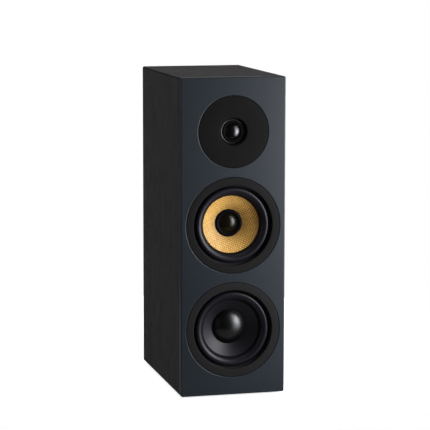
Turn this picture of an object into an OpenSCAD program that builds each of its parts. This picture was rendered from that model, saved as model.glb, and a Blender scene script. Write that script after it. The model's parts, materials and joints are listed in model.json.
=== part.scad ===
// Three-way bookshelf loudspeaker: a wrapped cabinet with a separate lacquered front panel,
// a dome tweeter, a midrange with a woven cone, a woofer, a rear reflex port and a terminal cup.
// Millimetres. The origin is the middle of the footprint on the floor, +Z is up and the front
// faces -Y. Each driver is drawn on its own axis, z = 0 at the front face and +z out of it.

/* [Cabinet] */
// Width across the two side panels
cabinet_w = 165; // [160:1:190]
// Height of the cabinet above its feet
cabinet_h = 492; // [484:1:560]
// Depth from the front face to the rear face
cabinet_d = 270; // [262:1:330]
// Thickness of the side, top, bottom and rear panels
wall_t = 15; // [12:0.5:15]
// Thickness of the lacquered front panel
front_t = 12; // [11:0.5:14]
// Thickness of the inner baffle that carries the drivers
baffle_t = 18; // [16:0.5:22]
// Radius of the wrapped edges and of the front panel's corners
edge_r = 3; // [1:0.5:5]
// Chamfer round each driver opening in the front panel
lip = 0.8; // [0.4:0.1:1.2]

/* [Feet and brace] */
// Height of the rubber feet
foot_h = 3; // [2:0.5:6]
// Radius of the rubber feet
foot_r = 9; // [6:0.5:12]
// Distance of the feet from the cabinet's sides
foot_inset = 20; // [16:1:30]
// Thickness of the brace between woofer and midrange
brace_t = 12; // [9:0.5:15]
// Height of the brace above the middle of the gap between woofer and midrange
brace_rise = 2.75; // [0:0.25:3]

/* [Driver positions] */
// Share of the front panel's spare height above the tweeter's opening
top_share = 0.3325; // [0.31:0.0005:0.35]
// Share of it between the openings of the tweeter and the midrange
upper_share = 0.1734; // [0.16:0.0002:0.18]
// Share of it between the openings of the midrange and the woofer
lower_share = 0.1651; // [0.15:0.0001:0.17]

/* [Midrange and woofer frames] */
// Width of the front panel beside each trim ring
ring_margin = 8.5; // [7:0.5:9.5]
// Width of the trim rings
ring_band = 12; // [10.5:0.5:12.5]
// Thickness of the basket's flange
flange_t = 4; // [3:0.5:5]
// Step from the trim rings' inner edge to the basket behind its flange
basket_step = 2; // [1.5:0.5:3]
// Step from the basket to its rear drum
drum_step = 15; // [13:0.5:16]
// Depth of the basket behind the inner baffle's front face
basket_depth = 39; // [38:0.5:44]
// Windows round each basket
window_count = 6; // [4:1:8]
// Step from the rear drum to the magnets
magnet_step = 3; // [-3:0.5:5]
// Thickness of the magnets
magnet_t = 14; // [10:0.5:20]
// Thickness of the top plates and of the yokes' back plates
plate_t = 5; // [4:0.5:6]

/* [Cones] */
// Width of the flat rim outside each surround's roll
landing_w = 2.6; // [2.2:0.1:3.1]
// Depth of the cones' edges behind the front face
cone_edge_drop = 15; // [14:0.5:16]
// Depth of the cones' necks behind the front face
cone_neck_drop = 36.5; // [35:0.5:38]
// Thickness of the cones
cone_t = 0.6; // [0.4:0.1:0.8]
// Width of each surround's half roll
roll_w = 12.6; // [12:0.1:13]
// Height of each surround's half roll
roll_h = 6; // [5:0.5:6.5]
// Outer radius of the voice-coil formers
coil_r = 12.9; // [12.5:0.1:13.5]
// Outer radius of the midrange's cap collar
collar_r = 22; // [21:0.5:24]
// Radius of the midrange's centre dome
plug_r = 14.6; // [13.5:0.1:15]
// Height of the midrange's centre dome
plug_h = 5.2; // [4.5:0.1:8]
// Radius of the woofer's dust cap
cap_r = 26.7; // [25:0.5:30]
// Height of the woofer's dust cap
cap_h = 9; // [6:0.5:11]

/* [Tweeter] */
// Radius of the cover plate
cover_r = 55; // [53:0.5:58]
// Thickness of the cover plate
cover_t = 2.5; // [2:0.5:3]
// Radius of the throat where it meets the cover's face
throat_r = 22; // [21:0.5:24]
// Radius of the dome
dome_r = 12.5; // [12:0.1:13]
// Height of the dome
dome_h = 4.4; // [4:0.1:6]
// Depth of the dome's edge behind the front face
dome_drop = 7; // [6.5:0.5:7.5]
// Radius of the magnet
tweeter_magnet_r = 34; // [32:0.5:36]
// Thickness of the magnet
tweeter_magnet_t = 8; // [6:0.5:12]

/* [Rear] */
// Inner radius of the port tube
port_r = 25; // [20:0.5:26]
// Length of the port tube
port_len = 110; // [80:1:125]
// Radius of the flares at both ends of the port tube
port_flare = 10; // [8:0.5:11]
// Distance of the port's axis below the cabinet's top
port_drop = 90; // [85:1:100]
// Width of the terminal cup's flange
cup_w = 96; // [90:1:110]
// Height of the terminal cup's flange
cup_h = 70; // [66:1:80]
// Depth of the terminal cup behind the rear face
cup_depth = 26; // [26:0.5:30]
// Height of the terminal cup's middle above the floor
cup_z = 112; // [105:1:120]
// Distance between the two binding posts
post_gap = 19.05; // [19.05:0.05:24]
// Radius of the binding posts' studs
stud_r = 3; // [2.8:0.1:3.5]
// Radius of the sockets for the banana plugs
socket_r = 2.05; // [2:0.01:2.1]
// Depth of the sockets
socket_len = 11; // [9:0.5:11.5]
// Radius of the binding posts' knobs
knob_r = 7.5; // [7:0.1:8]
// Length of the knobs
knob_len = 14; // [13:0.5:15]

/* [Crossover] */
// Width of the crossover board
board_w = 110; // [108:1:116]
// Depth of the crossover board
board_d = 95; // [95:1:105]
// Radius of the largest inductor
choke_r = 19; // [17:0.5:20]
// Height of the largest inductor
choke_h = 22; // [18:0.5:24]
// Radius of the largest capacitor
can_r = 9; // [8:0.5:10]
// Length of the largest capacitor
can_len = 34; // [30:1:38]
// Side of the square resistors
block_w = 9; // [8:0.5:10]
// Length of the resistors
block_len = 25; // [20:1:26]
// Height of the stand-offs under the board
standoff_h = 6; // [4:0.5:8]
// Radius of the wires of the loom
wire_r = 1.1; // [0.8:0.1:1.3]

/* [Fit] */
// Gap between pieces that are glued or laid together
glue_gap = 0.02; // [0.01:0.01:0.04]
// Gap round pieces that drop into an opening
drop_gap = 0.3; // [0.2:0.05:0.5]
// Gap round a screw in its pilot hole
screw_gap = 0.05; // [0.03:0.01:0.08]
// Gap between the end of a wire and what it is soldered to
tip_gap = 0.28; // [0.25:0.01:0.35]
// Gap between a knob and its stud
turn_gap = 0.05; // [0.03:0.01:0.08]

/* [Hidden] */
smooth = 96;
base_z = foot_h;
top_z = foot_h + cabinet_h;
front_y = -cabinet_d / 2;
rear_y = cabinet_d / 2;
carcass_y = front_y + front_t;
in_w = cabinet_w - 2 * wall_t;
in_z0 = base_z + wall_t;
in_z1 = top_z - wall_t;
in_y1 = rear_y - wall_t;
baffle_back_y = carcass_y + baffle_t;

// Radii of the drivers step inwards from the cabinet's sides
ring_r = cabinet_w / 2 - ring_margin;
ring_in_r = ring_r - ring_band;
flange_r = ring_r - 1;
basket_r = ring_in_r - basket_step;
landing_r = basket_r + 1;
drum_r = basket_r - drum_step;
magnet_r = drum_r - magnet_step;
roll_out_r = landing_r - landing_w;
roll_in_r = roll_out_r - roll_w;
cone_lip_r = roll_in_r - 0.2;
cone_r = cone_lip_r - 1.6;

// The axes of the drivers share out the height that their openings leave
cover_hole_r = cover_r + drop_gap;
ring_hole_r = ring_r + drop_gap;
spare_h = cabinet_h - 2 * cover_hole_r - 4 * ring_hole_r;
tweeter_z = top_z - spare_h * top_share - cover_hole_r;
mid_z = tweeter_z - cover_hole_r - spare_h * upper_share - ring_hole_r;
woofer_z = mid_z - spare_h * lower_share - 2 * ring_hole_r;

// Levels on a driver's own axis
flange_z = flange_t - front_t;
seat_z = -front_t;
landing_z = flange_z - 2;
lip_t = 0.8;
spider_t = 0.5;
frame_back_z = -front_t - basket_depth;
floor_t = 3;
shoulder_z = -cone_neck_drop - 2.75;
drum_wall = 7;
spider_r = drum_r - 3.5;
plate_z = frame_back_z - plate_t;
magnet_z = plate_z - magnet_t;
yoke_z = magnet_z - plate_t;
plate_r = magnet_r - 4;
former_t = 0.3;
winding_t = 0.8;
winding_len = 8;
pole_r = coil_r - former_t - 0.4;
gap_r = coil_r + winding_t + 0.6;
cone_neck_r = coil_r + screw_gap;
cone_slope = (cone_neck_drop - cone_edge_drop) / (cone_r - coil_r);

// Drivers' screws: one size for all three
screw_r = 1.9;
screw_head_r = 3.6;
screw_head_h = 2;
screw_len = 18;
frame_screw_ring = (flange_r + landing_r) / 2;

// Levels on the tweeter's axis
rebate_t = 6;
tweeter_seat_z = -rebate_t;
tweeter_back_z = -dome_drop - 2.5;
tweeter_plate_t = 3;
tweeter_plate_z = tweeter_back_z - tweeter_plate_t;
tweeter_magnet_z = tweeter_plate_z - tweeter_magnet_t;
tweeter_yoke_t = 4;
tweeter_yoke_z = tweeter_magnet_z - tweeter_yoke_t;
tweeter_flange_r = cover_r - 0.5;
tweeter_ledge_r = tweeter_magnet_r + 1.5;
tweeter_roll_r = dome_r + 4.5;
tweeter_screw_ring = (tweeter_flange_r + tweeter_ledge_r) / 2;
tweeter_cap_len = 14;
tweeter_cap_r = tweeter_magnet_r - 5;

// Solder tags and blades
terminal_w = 18;
blade_x = 5;
blade_end_z = frame_back_z - 4;
blade_r = drum_r + 2.6;
tag_z = tweeter_yoke_z - tweeter_cap_len - 5;

// The midrange's closed chamber behind the baffle
chamber_r = in_w / 2 - 1.5;
chamber_wall = 3;
chamber_len = 88;
chamber_back_z = baffle_back_y - front_y + chamber_len;
wadding_t = 22;
gland_r = 4;
brace_z = (woofer_z + basket_r + mid_z - chamber_r - brace_t) / 2 + brace_rise;

// Terminal cup and posts, on the posts' own axis with z = 0 at the rear face and +z outwards
cup_wall = 2.5;
cup_flange_t = 2.5;
cup_floor_t = 3;
cup_body_w = cup_w - 16;
cup_body_h = cup_h - 16;
cup_floor_z = -cup_depth + cup_floor_t;
collar_t = 2.5;
washer_t = 1;
washer_z = cup_floor_z + collar_t;
knob_z = washer_z + washer_t;
stud_end_z = knob_z + knob_len;
nut_t = 4;
knob_ribs = 16;
stud_tail = 12;
cup_screw_x = cup_w / 2 - 4.5;
cup_screw_z = cup_h / 2 - 4.5;
cup_screw_r = 1.25;
cup_screw_head_r = 2.6;
cup_screw_head_h = 1.4;
cup_screw_len = 11;
post_xs = [-post_gap / 2, post_gap / 2];
port_z = top_z - port_drop;
port_wall = 2.5;
port_flange_t = 3;
port_rim = 5;
port_flange_r = port_r + port_flare + port_rim;
port_tail_flare = 0.8 * port_flare;

// Crossover
board_t = 1.6;
board_y = in_y1 - 14 - board_d / 2;
board_z = in_z0 + standoff_h;
board_top = board_z + board_t;
board_edge = 6;
standoff_places = [for (x = [-1, 1], y = [-1, 1])
    [x * (board_w / 2 - board_edge), board_y + y * (board_d / 2 - board_edge), 0]];
brace_rim = 20;
brace_hole_w = in_w - 2 * brace_rim;
brace_y0 = baffle_back_y + brace_rim;
brace_y1 = in_y1 - brace_rim;

// ---- Placing ----

// Stands children on a driver's axis at height z
module on_front(z) {
    translate([0, front_y, z]) rotate([90, 0, 0]) children();
}

// Stands children on an axis of the rear face at x and height z
module on_rear(x, z) {
    translate([x, rear_y, z]) rotate([-90, 0, 0]) children();
}

// Repeats children round the axis, the first one at angle first
module around(count, first, radius) {
    for (i = [0:count - 1])
        rotate([0, 0, first + i * 360 / count]) translate([radius, 0, 0]) children();
}

// ---- Shared shapes ----

// A tube between two levels of its axis
module tube(outer, inner, z0, z1) {
    translate([0, 0, z0]) difference() {
        cylinder(r = outer, h = z1 - z0, $fn = smooth);
        translate([0, 0, -1]) cylinder(r = inner, h = z1 - z0 + 2, $fn = smooth);
    }
}

// A round bar between two levels of its axis
module bar(radius, z0, z1) {
    translate([0, 0, z0]) cylinder(r = radius, h = z1 - z0, $fn = smooth);
}

// A profile of [radius, level] points turned round the axis
module turned(points) {
    rotate_extrude($fn = smooth) polygon(points);
}

// A rectangle with true round corners, about its middle
module round_rect(w, h, r) {
    square([w - 2 * r, h], center = true);
    square([w, h - 2 * r], center = true);
    for (x = [-1, 1], y = [-1, 1])
        translate([x * (w / 2 - r), y * (h / 2 - r)]) circle(r = r, $fn = smooth);
}

// A plate with round corners between two levels
module round_plate(w, h, r, z0, z1) {
    translate([0, 0, z0]) linear_extrude(z1 - z0) round_rect(w, h, r);
}

// The points of a spherical cap's arc from its rim to its top
function cap_arc(r, h, n) =
    let (ball = (r * r + h * h) / (2 * h), rim = asin(r / ball))
    [for (i = [0:n]) let (t = rim * (1 - i / n)) [ball * sin(t), h - ball + ball * cos(t)]];

// A thin dome with its rim at level z
module dome_shell(r, h, t, z) {
    outer = cap_arc(r, h, 10);
    inner = cap_arc(r - t, h - t, 10);
    translate([0, 0, z]) turned(concat(outer, [for (i = [10:-1:0]) inner[i]]));
}

// ---- Cabinet ----

// The wrapped case's cross-section, cut along the mitres to leave one side
module case_side(turn, across, along) {
    translate([0, carcass_y, base_z + cabinet_h / 2]) rotate([-90, 0, 0])
        linear_extrude(rear_y - carcass_y) intersection() {
            difference() {
                round_rect(cabinet_w, cabinet_h, edge_r);
                square([in_w, in_z1 - in_z0], center = true);
            }
            rotate(turn) polygon([
                [across / 2 - wall_t, -along / 2 + wall_t], [across / 2 + 1, -along / 2 - 1],
                [across / 2 + 1, along / 2 + 1], [across / 2 - wall_t, along / 2 - wall_t]
            ]);
        }
}

module left_panel() {
    color([0.15, 0.15, 0.15]) case_side(180, cabinet_w, cabinet_h);
}

module right_panel() {
    color([0.15, 0.15, 0.15]) case_side(0, cabinet_w, cabinet_h);
}

module top_panel() {
    color([0.2, 0.19, 0.18]) case_side(-90, cabinet_h, cabinet_w);
}

module bottom_panel() {
    color([0.15, 0.15, 0.15]) case_side(90, cabinet_h, cabinet_w);
}

module rear_panel() {
    color([0.13, 0.13, 0.13]) difference() {
        translate([-in_w / 2, in_y1, in_z0]) cube([in_w, wall_t, in_z1 - in_z0]);
        on_rear(0, port_z) {
            bar(port_r + port_flare + drop_gap / 2, -wall_t - 1, 1);
            bar(port_flange_r + drop_gap / 2, -port_flange_t, 1);
        }
        on_rear(0, cup_z) {
            round_plate(cup_body_w + 2 * drop_gap, cup_body_h + 2 * drop_gap, 6, -wall_t - 1, 1);
            round_plate(cup_w + 2 * drop_gap, cup_h + 2 * drop_gap, 5, -cup_flange_t, 1);
            cup_screw_places() bar(cup_screw_r + screw_gap, -cup_screw_len - 1, 0);
        }
    }
}

// The front panel's front edges and corners are rounded by three crossing outlines
module front_panel() {
    front_edge_r = min(edge_r, 2.5);
    color([0.22, 0.24, 0.26]) difference() {
        intersection() {
            on_front(base_z + cabinet_h / 2)
                round_plate(cabinet_w, cabinet_h, edge_r, -front_t, 0);
            translate([0, 0, base_z]) linear_extrude(cabinet_h)
                front_edge_outline(cabinet_w, front_edge_r);
            translate([-cabinet_w / 2, 0, base_z + cabinet_h / 2]) rotate([90, 0, 90])
                linear_extrude(cabinet_w) front_edge_side(cabinet_h, front_edge_r);
        }
        on_front(tweeter_z) {
            bar(cover_hole_r, -rebate_t, 1);
            bar(tweeter_ledge_r, -front_t - 1, 1);
            lip_cut(cover_hole_r);
            around(4, 45, tweeter_screw_ring) bar(screw_r + screw_gap, -front_t - 1, 0);
        }
        for (z = [mid_z, woofer_z])
            on_front(z) {
                bar(ring_hole_r, -front_t - 1, 1);
                lip_cut(ring_hole_r);
            }
    }
}

// Plan of the front panel: square at its back, round at its front edges
module front_edge_outline(w, r) {
    translate([-w / 2, front_y + r]) square([w, front_t - r]);
    translate([-w / 2 + r, front_y]) square([w - 2 * r, front_t]);
    for (x = [-1, 1])
        translate([x * (w / 2 - r), front_y + r]) circle(r = r, $fn = smooth);
}

// Side view of the front panel, in the same way
module front_edge_side(h, r) {
    translate([front_y + r, -h / 2]) square([front_t - r, h]);
    translate([front_y, -h / 2 + r]) square([front_t, h - 2 * r]);
    for (z = [-1, 1])
        translate([front_y + r, z * (h / 2 - r)]) circle(r = r, $fn = smooth);
}

module lip_cut(r) {
    translate([0, 0, -lip]) cylinder(r1 = r, r2 = r + lip + 0.5, h = lip + 0.5, $fn = smooth);
}

module inner_baffle() {
    color([0.6, 0.48, 0.33]) difference() {
        translate([-in_w / 2, carcass_y, in_z0]) cube([in_w, baffle_t, in_z1 - in_z0]);
        on_front(tweeter_z) {
            bar(tweeter_ledge_r, -front_t - baffle_t - 1, -front_t + 1);
            around(4, 45, tweeter_screw_ring)
                bar(screw_r + screw_gap, -rebate_t - screw_len - 2, -front_t + 1);
        }
        for (z = [mid_z, woofer_z])
            on_front(z) {
                bar(basket_r + drop_gap, -front_t - baffle_t - 1, -front_t + 1);
                around(4, 45, frame_screw_ring)
                    bar(screw_r + screw_gap, flange_z - screw_len - 1, -front_t + 1);
            }
    }
}

module shelf_brace() {
    color([0.6, 0.48, 0.33]) translate([0, 0, brace_z]) difference() {
        translate([-in_w / 2, baffle_back_y, 0])
            cube([in_w, in_y1 - baffle_back_y, brace_t]);
        translate([-brace_hole_w / 2, brace_y0, -1])
            cube([brace_hole_w, brace_y1 - brace_y0, brace_t + 2]);
    }
}

module mid_chamber() {
    color([0.1, 0.1, 0.1]) on_front(mid_z) difference() {
        tube(chamber_r, 0, -chamber_back_z, -front_t - baffle_t);
        bar(chamber_r - chamber_wall, -chamber_back_z + chamber_wall, 0);
        translate([0, -chamber_r / 2, 0]) bar(gland_r, -chamber_back_z - 1, 0);
    }
}

module mid_wadding() {
    color([0.85, 0.85, 0.82]) on_front(mid_z) difference() {
        bar(chamber_r - chamber_wall - 1, -chamber_back_z + chamber_wall,
            -chamber_back_z + chamber_wall + wadding_t);
        translate([0, -chamber_r / 2, 0]) bar(gland_r + 2, -chamber_back_z - 1, 0);
    }
}

module rubber_feet() {
    color([0.06, 0.06, 0.06])
        for (x = [-1, 1], y = [-1, 1])
            translate([x * (cabinet_w / 2 - foot_inset), y * (cabinet_d / 2 - foot_inset - 6), 0])
                cylinder(r1 = foot_r - 1, r2 = foot_r, h = foot_h, $fn = smooth);
}

// ---- Drivers: shapes that the midrange and the woofer share ----

module trim_ring_shape() {
    turned([
        [ring_in_r, flange_z + glue_gap], [ring_r, flange_z + glue_gap], [ring_r, -0.6],
        [ring_r - 0.6, 0], [ring_in_r + 0.8, 0], [ring_in_r, -0.8]
    ]);
}

// A cast basket: flange, windowed wall, drum with the spider's shoulder, floor for the magnet
module basket_shape() {
    difference() {
        turned([
            [landing_r, flange_z], [flange_r, flange_z], [flange_r, seat_z], [basket_r, seat_z],
            [basket_r, seat_z - 3], [drum_r, shoulder_z], [drum_r, frame_back_z],
            [gap_r + 4, frame_back_z], [gap_r + 4, frame_back_z + floor_t],
            [drum_r - drum_wall, frame_back_z + floor_t], [drum_r - drum_wall, shoulder_z],
            [drum_r - 3, shoulder_z], [basket_r - 3, seat_z - 3], [basket_r - 3, seat_z + 0.2],
            [roll_out_r - 0.8, seat_z + 0.2], [roll_out_r - 0.8, landing_z],
            [landing_r, landing_z]
        ]);
        around(window_count, -90, 0) window_cut();
        around(4, 45, frame_screw_ring) screw_clearance(flange_z - screw_gap);
    }
}

module window_cut() {
    half = 0.36 * 360 / window_count;
    reach = basket_r + 4;
    inner = drum_r - drum_wall;
    translate([0, 0, shoulder_z + 3]) linear_extrude(seat_z - 8 - shoulder_z)
        polygon([
            inner * [cos(half), -sin(half)], reach * [cos(half), -sin(half)],
            [reach, 0], reach * [cos(half), sin(half)], inner * [cos(half), sin(half)]
        ]);
}

// A countersunk shape whose head ends at level end, with a straight mouth above it
module countersunk(r, head_r, head_h, length, end, mouth) {
    turned(concat(
        [[0, end - length], [r, end - length], [r, end - head_h], [head_r, end]],
        mouth > 0 ? [[head_r, end + mouth]] : [],
        [[0, end + mouth]]
    ));
}

// The hole for a driver's screw whose head ends at level z
module screw_clearance(z) {
    countersunk(screw_r + screw_gap, screw_head_r + screw_gap, screw_head_h, 12, z, 1);
}

module screw_shape(z) {
    difference() {
        countersunk(screw_r, screw_head_r, screw_head_h, screw_len, z, 0);
        for (turn = [0, 90])
            rotate([0, 0, turn]) translate([0, 0, z]) cube([3.4, 0.8, 2.4], center = true);
    }
}

// Height of the cone's front surface at a radius
function cone_z(r) = -cone_neck_drop + (r - coil_r) * cone_slope;

module cone_shape() {
    turned([
        [cone_neck_r, cone_z(cone_neck_r)], [cone_lip_r, cone_z(cone_lip_r)],
        [cone_lip_r, cone_z(cone_lip_r) - cone_t], [cone_neck_r, cone_z(cone_neck_r) - cone_t]
    ]);
}

// A point on the surround's roll: angle 180 is its inner foot and 0 its outer foot
function roll_point(angle, offset) =
    let (foot_in = cone_z(roll_in_r) + lip_t / 2 + glue_gap,
         foot_out = landing_z + lip_t / 2 + glue_gap,
         share = (1 + cos(angle)) / 2)
    [(roll_in_r + roll_out_r) / 2 + (roll_w / 2 + offset) * cos(angle),
     foot_in + (foot_out - foot_in) * share + (roll_h + offset) * sin(angle)];

module surround_shape() {
    half = lip_t / 2;
    steps = 16;
    lap_r = cone_r;
    turned(concat(
        [[lap_r, cone_z(lap_r) + glue_gap], [lap_r, cone_z(lap_r) + glue_gap + lip_t]],
        [for (i = [0:steps]) roll_point(180 - i * 180 / steps, half)],
        [[landing_r - 0.3, landing_z + lip_t + glue_gap], [landing_r - 0.3, landing_z + glue_gap]],
        [for (i = [0:steps]) roll_point(i * 180 / steps, -half)]
    ));
}

// The former and the winding in the magnet's gap
module voice_coil_shape() {
    middle = frame_back_z - plate_t / 2;
    tube(coil_r, coil_r - former_t, middle - winding_len, cone_z(coil_r) - cone_t / 2);
    tube(coil_r + winding_t, coil_r - former_t / 2, middle - winding_len / 2,
         middle + winding_len / 2);
}

// A corrugated disc from the former to the basket's shoulder
module spider_shape() {
    r0 = coil_r + glue_gap;
    r1 = drum_r - drum_wall - 0.5;
    steps = 40;
    top = shoulder_z + glue_gap + spider_t;
    waves = [for (i = [0:steps])
        [r0 + (r1 - r0) * i / steps, top + 1.1 * sin(360 * 4 * i / steps)]];
    turned(concat(
        waves, [[spider_r, top], [spider_r, top - spider_t]],
        [for (i = [steps:-1:0]) waves[i] - [0, spider_t]]
    ));
}

module top_plate_shape() {
    tube(plate_r, gap_r, plate_z, frame_back_z);
}

module magnet_shape() {
    tube(magnet_r, gap_r + 5, magnet_z, plate_z);
}

module yoke_shape() {
    difference() {
        union() {
            bar(plate_r, yoke_z, magnet_z);
            bar(pole_r, magnet_z - 1, frame_back_z);
        }
        bar(4, yoke_z - 1, frame_back_z + 1);
    }
}

// Tag block on the drum under the lowest window, with one blade for each lead
module terminals_shape() {
    difference() {
        translate([-terminal_w / 2, -drum_r - 4, frame_back_z])
            cube([terminal_w, 6, shoulder_z - frame_back_z - 1]);
        bar(drum_r + glue_gap, frame_back_z - 1, shoulder_z);
    }
    for (x = [-blade_x, blade_x])
        translate([x - 1.4, -blade_r - 0.4, blade_end_z]) cube([2.8, 0.8, 5]);
}

// ---- Midrange ----

module mid_trim_ring() {
    color([0.1, 0.1, 0.1]) on_front(mid_z) trim_ring_shape();
}

module mid_basket() {
    color([0.12, 0.12, 0.13]) on_front(mid_z) basket_shape();
}

module mid_surround() {
    color([0.05, 0.05, 0.06]) on_front(mid_z) surround_shape();
}

module mid_cone() {
    color([0.85, 0.62, 0.25]) on_front(mid_z) cone_shape();
}

// A ridge that rises from the cone and falls to a seat round the dome
module mid_cap_collar() {
    seat = cone_z(collar_r);
    ridge_r = (collar_r + plug_r) / 2;
    ridge_h = 1.5;
    inner = plug_r + glue_gap;
    color([0.04, 0.04, 0.04]) on_front(mid_z) turned([
        [collar_r, seat + glue_gap], [ridge_r + 0.6, seat + ridge_h - 0.3],
        [ridge_r, seat + ridge_h], [ridge_r - 0.6, seat + ridge_h - 0.3],
        [inner + 0.6, seat - 0.5], [inner, seat - 0.5],
        [inner, seat - 1.6], [inner + 3, seat - 1.6]
    ]);
}

module mid_cap_dome() {
    color([0.12, 0.11, 0.06]) on_front(mid_z)
        dome_shell(plug_r, plug_h, 0.5, cone_z(collar_r) - 1.4);
}

module mid_voice_coil() {
    color([0.7, 0.4, 0.2]) on_front(mid_z) voice_coil_shape();
}

module mid_spider() {
    color([0.75, 0.6, 0.3]) on_front(mid_z) spider_shape();
}

module mid_top_plate() {
    color([0.5, 0.5, 0.52]) on_front(mid_z) top_plate_shape();
}

module mid_magnet() {
    color([0.2, 0.2, 0.21]) on_front(mid_z) magnet_shape();
}

module mid_yoke() {
    color([0.5, 0.5, 0.52]) on_front(mid_z) yoke_shape();
}

module mid_terminals() {
    color([0.8, 0.7, 0.4]) on_front(mid_z) terminals_shape();
}

// ---- Woofer ----

module woofer_trim_ring() {
    color([0.1, 0.1, 0.1]) on_front(woofer_z) trim_ring_shape();
}

module woofer_basket() {
    color([0.12, 0.12, 0.13]) on_front(woofer_z) basket_shape();
}

module woofer_surround() {
    color([0.05, 0.05, 0.06]) on_front(woofer_z) surround_shape();
}

module woofer_cone() {
    color([0.1, 0.1, 0.11]) on_front(woofer_z) cone_shape();
}

module woofer_dust_cap() {
    color([0.07, 0.07, 0.07]) on_front(woofer_z)
        dome_shell(cap_r, cap_h, 0.6, cone_z(cap_r) + glue_gap);
}

module woofer_voice_coil() {
    color([0.7, 0.4, 0.2]) on_front(woofer_z) voice_coil_shape();
}

module woofer_spider() {
    color([0.75, 0.6, 0.3]) on_front(woofer_z) spider_shape();
}

module woofer_top_plate() {
    color([0.5, 0.5, 0.52]) on_front(woofer_z) top_plate_shape();
}

module woofer_magnet() {
    color([0.2, 0.2, 0.21]) on_front(woofer_z) magnet_shape();
}

module woofer_yoke() {
    color([0.5, 0.5, 0.52]) on_front(woofer_z) yoke_shape();
}

module woofer_terminals() {
    color([0.8, 0.7, 0.4]) on_front(woofer_z) terminals_shape();
}

module driver_screws() {
    color([0.3, 0.3, 0.3]) {
        on_front(tweeter_z) around(4, 45, tweeter_screw_ring) screw_shape(-cover_t - 0.2);
        for (z = [mid_z, woofer_z])
            on_front(z) around(4, 45, frame_screw_ring) screw_shape(flange_z - screw_gap);
    }
}

// ---- Tweeter ----

module tweeter_cover() {
    color([0.12, 0.12, 0.12]) on_front(tweeter_z) turned([
        [throat_r - 1.5, -cover_t], [cover_r, -cover_t], [cover_r, -0.5], [cover_r - 0.5, 0],
        [throat_r, 0], [throat_r - 1.1, -1]
    ]);
}

// The moulded flange with a throat down to the lip that clamps the surround's rim
module tweeter_frame() {
    rim_z = -dome_drop - 0.3;
    lip_r = tweeter_roll_r + 0.15;
    top = -cover_t - glue_gap;
    color([0.08, 0.08, 0.08]) on_front(tweeter_z) difference() {
        turned([
            [throat_r - 1.5, top], [tweeter_flange_r, top], [tweeter_flange_r, tweeter_seat_z],
            [tweeter_ledge_r - 1, tweeter_seat_z], [tweeter_ledge_r - 1, tweeter_back_z],
            [dome_r + 3, tweeter_back_z], [dome_r + 3, -dome_drop - 1.2],
            [tweeter_roll_r + 1.5, -dome_drop - 1.2], [tweeter_roll_r + 1.5, rim_z + glue_gap],
            [lip_r, rim_z + glue_gap], [lip_r, rim_z + 0.3], [lip_r + 0.3, rim_z + 0.6],
            [lip_r + 0.8, rim_z + 0.6], [lip_r + 1.1, rim_z + 0.3]
        ]);
        around(4, 45, tweeter_screw_ring) screw_clearance(-cover_t - 0.2);
    }
}

module tweeter_dome() {
    color([0.05, 0.05, 0.05]) on_front(tweeter_z)
        dome_shell(dome_r, dome_h, 0.3, -dome_drop);
}

// A half roll from the dome's edge to the clamp, on a flat rim
module tweeter_surround() {
    steps = 12;
    r0 = dome_r + glue_gap;
    middle = (r0 + tweeter_roll_r) / 2;
    half = (tweeter_roll_r - r0) / 2;
    foot = -dome_drop - 0.6;
    color([0.06, 0.06, 0.06]) on_front(tweeter_z) turned(concat(
        [for (i = [0:steps]) let (a = 180 - i * 180 / steps)
            [middle + half * cos(a), foot + 0.3 + 1.6 * sin(a)]],
        [[tweeter_roll_r + 1.4, foot + 0.3], [tweeter_roll_r + 1.4, foot - 0.5]],
        [for (i = [0:steps]) let (a = i * 180 / steps)
            [middle + (half - 0.3) * cos(a), foot - 0.1 + 1.6 * sin(a)]]
    ));
}

module tweeter_voice_coil() {
    color([0.75, 0.7, 0.6]) on_front(tweeter_z) {
        tube(dome_r - 0.3, dome_r - 0.5, tweeter_plate_z - 2, -dome_drop);
        tube(dome_r, dome_r - 0.4, tweeter_plate_z - 0.5, tweeter_back_z - 0.5);
    }
}

module tweeter_top_plate() {
    color([0.5, 0.5, 0.52]) on_front(tweeter_z)
        tube(tweeter_magnet_r - 1, dome_r + 0.5, tweeter_plate_z, tweeter_back_z);
}

module tweeter_magnet() {
    color([0.2, 0.2, 0.21]) on_front(tweeter_z)
        tube(tweeter_magnet_r, dome_r + 5, tweeter_magnet_z, tweeter_plate_z);
}

module tweeter_yoke() {
    color([0.5, 0.5, 0.52]) on_front(tweeter_z) difference() {
        union() {
            bar(tweeter_magnet_r - 1, tweeter_yoke_z, tweeter_magnet_z);
            bar(dome_r - 1, tweeter_magnet_z - 1, tweeter_back_z);
        }
        bar(5, tweeter_yoke_z - 1, tweeter_back_z + 1);
    }
}

// The closed cup behind the yoke, with the two solder tags on its rear
module tweeter_rear_cap() {
    color([0.07, 0.07, 0.07]) on_front(tweeter_z) {
        difference() {
            bar(tweeter_cap_r, tweeter_yoke_z - tweeter_cap_len, tweeter_yoke_z);
            bar(tweeter_cap_r - 2, tweeter_yoke_z - tweeter_cap_len + 2, tweeter_yoke_z + 1);
        }
        for (x = [-blade_x, blade_x])
            translate([x - 1.4, -10.4, tag_z]) cube([2.8, 0.8, 6]);
    }
}

// ---- Rear: port, terminal cup and binding posts ----

// Half of the port's profile from the middle to one mouth
function flare_points(r, bend, end, dir, n) =
    [for (i = [0:n]) let (a = 90 * i / n) [r + bend * (1 - cos(a)), end + dir * bend * (1 - sin(a))]];

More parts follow.
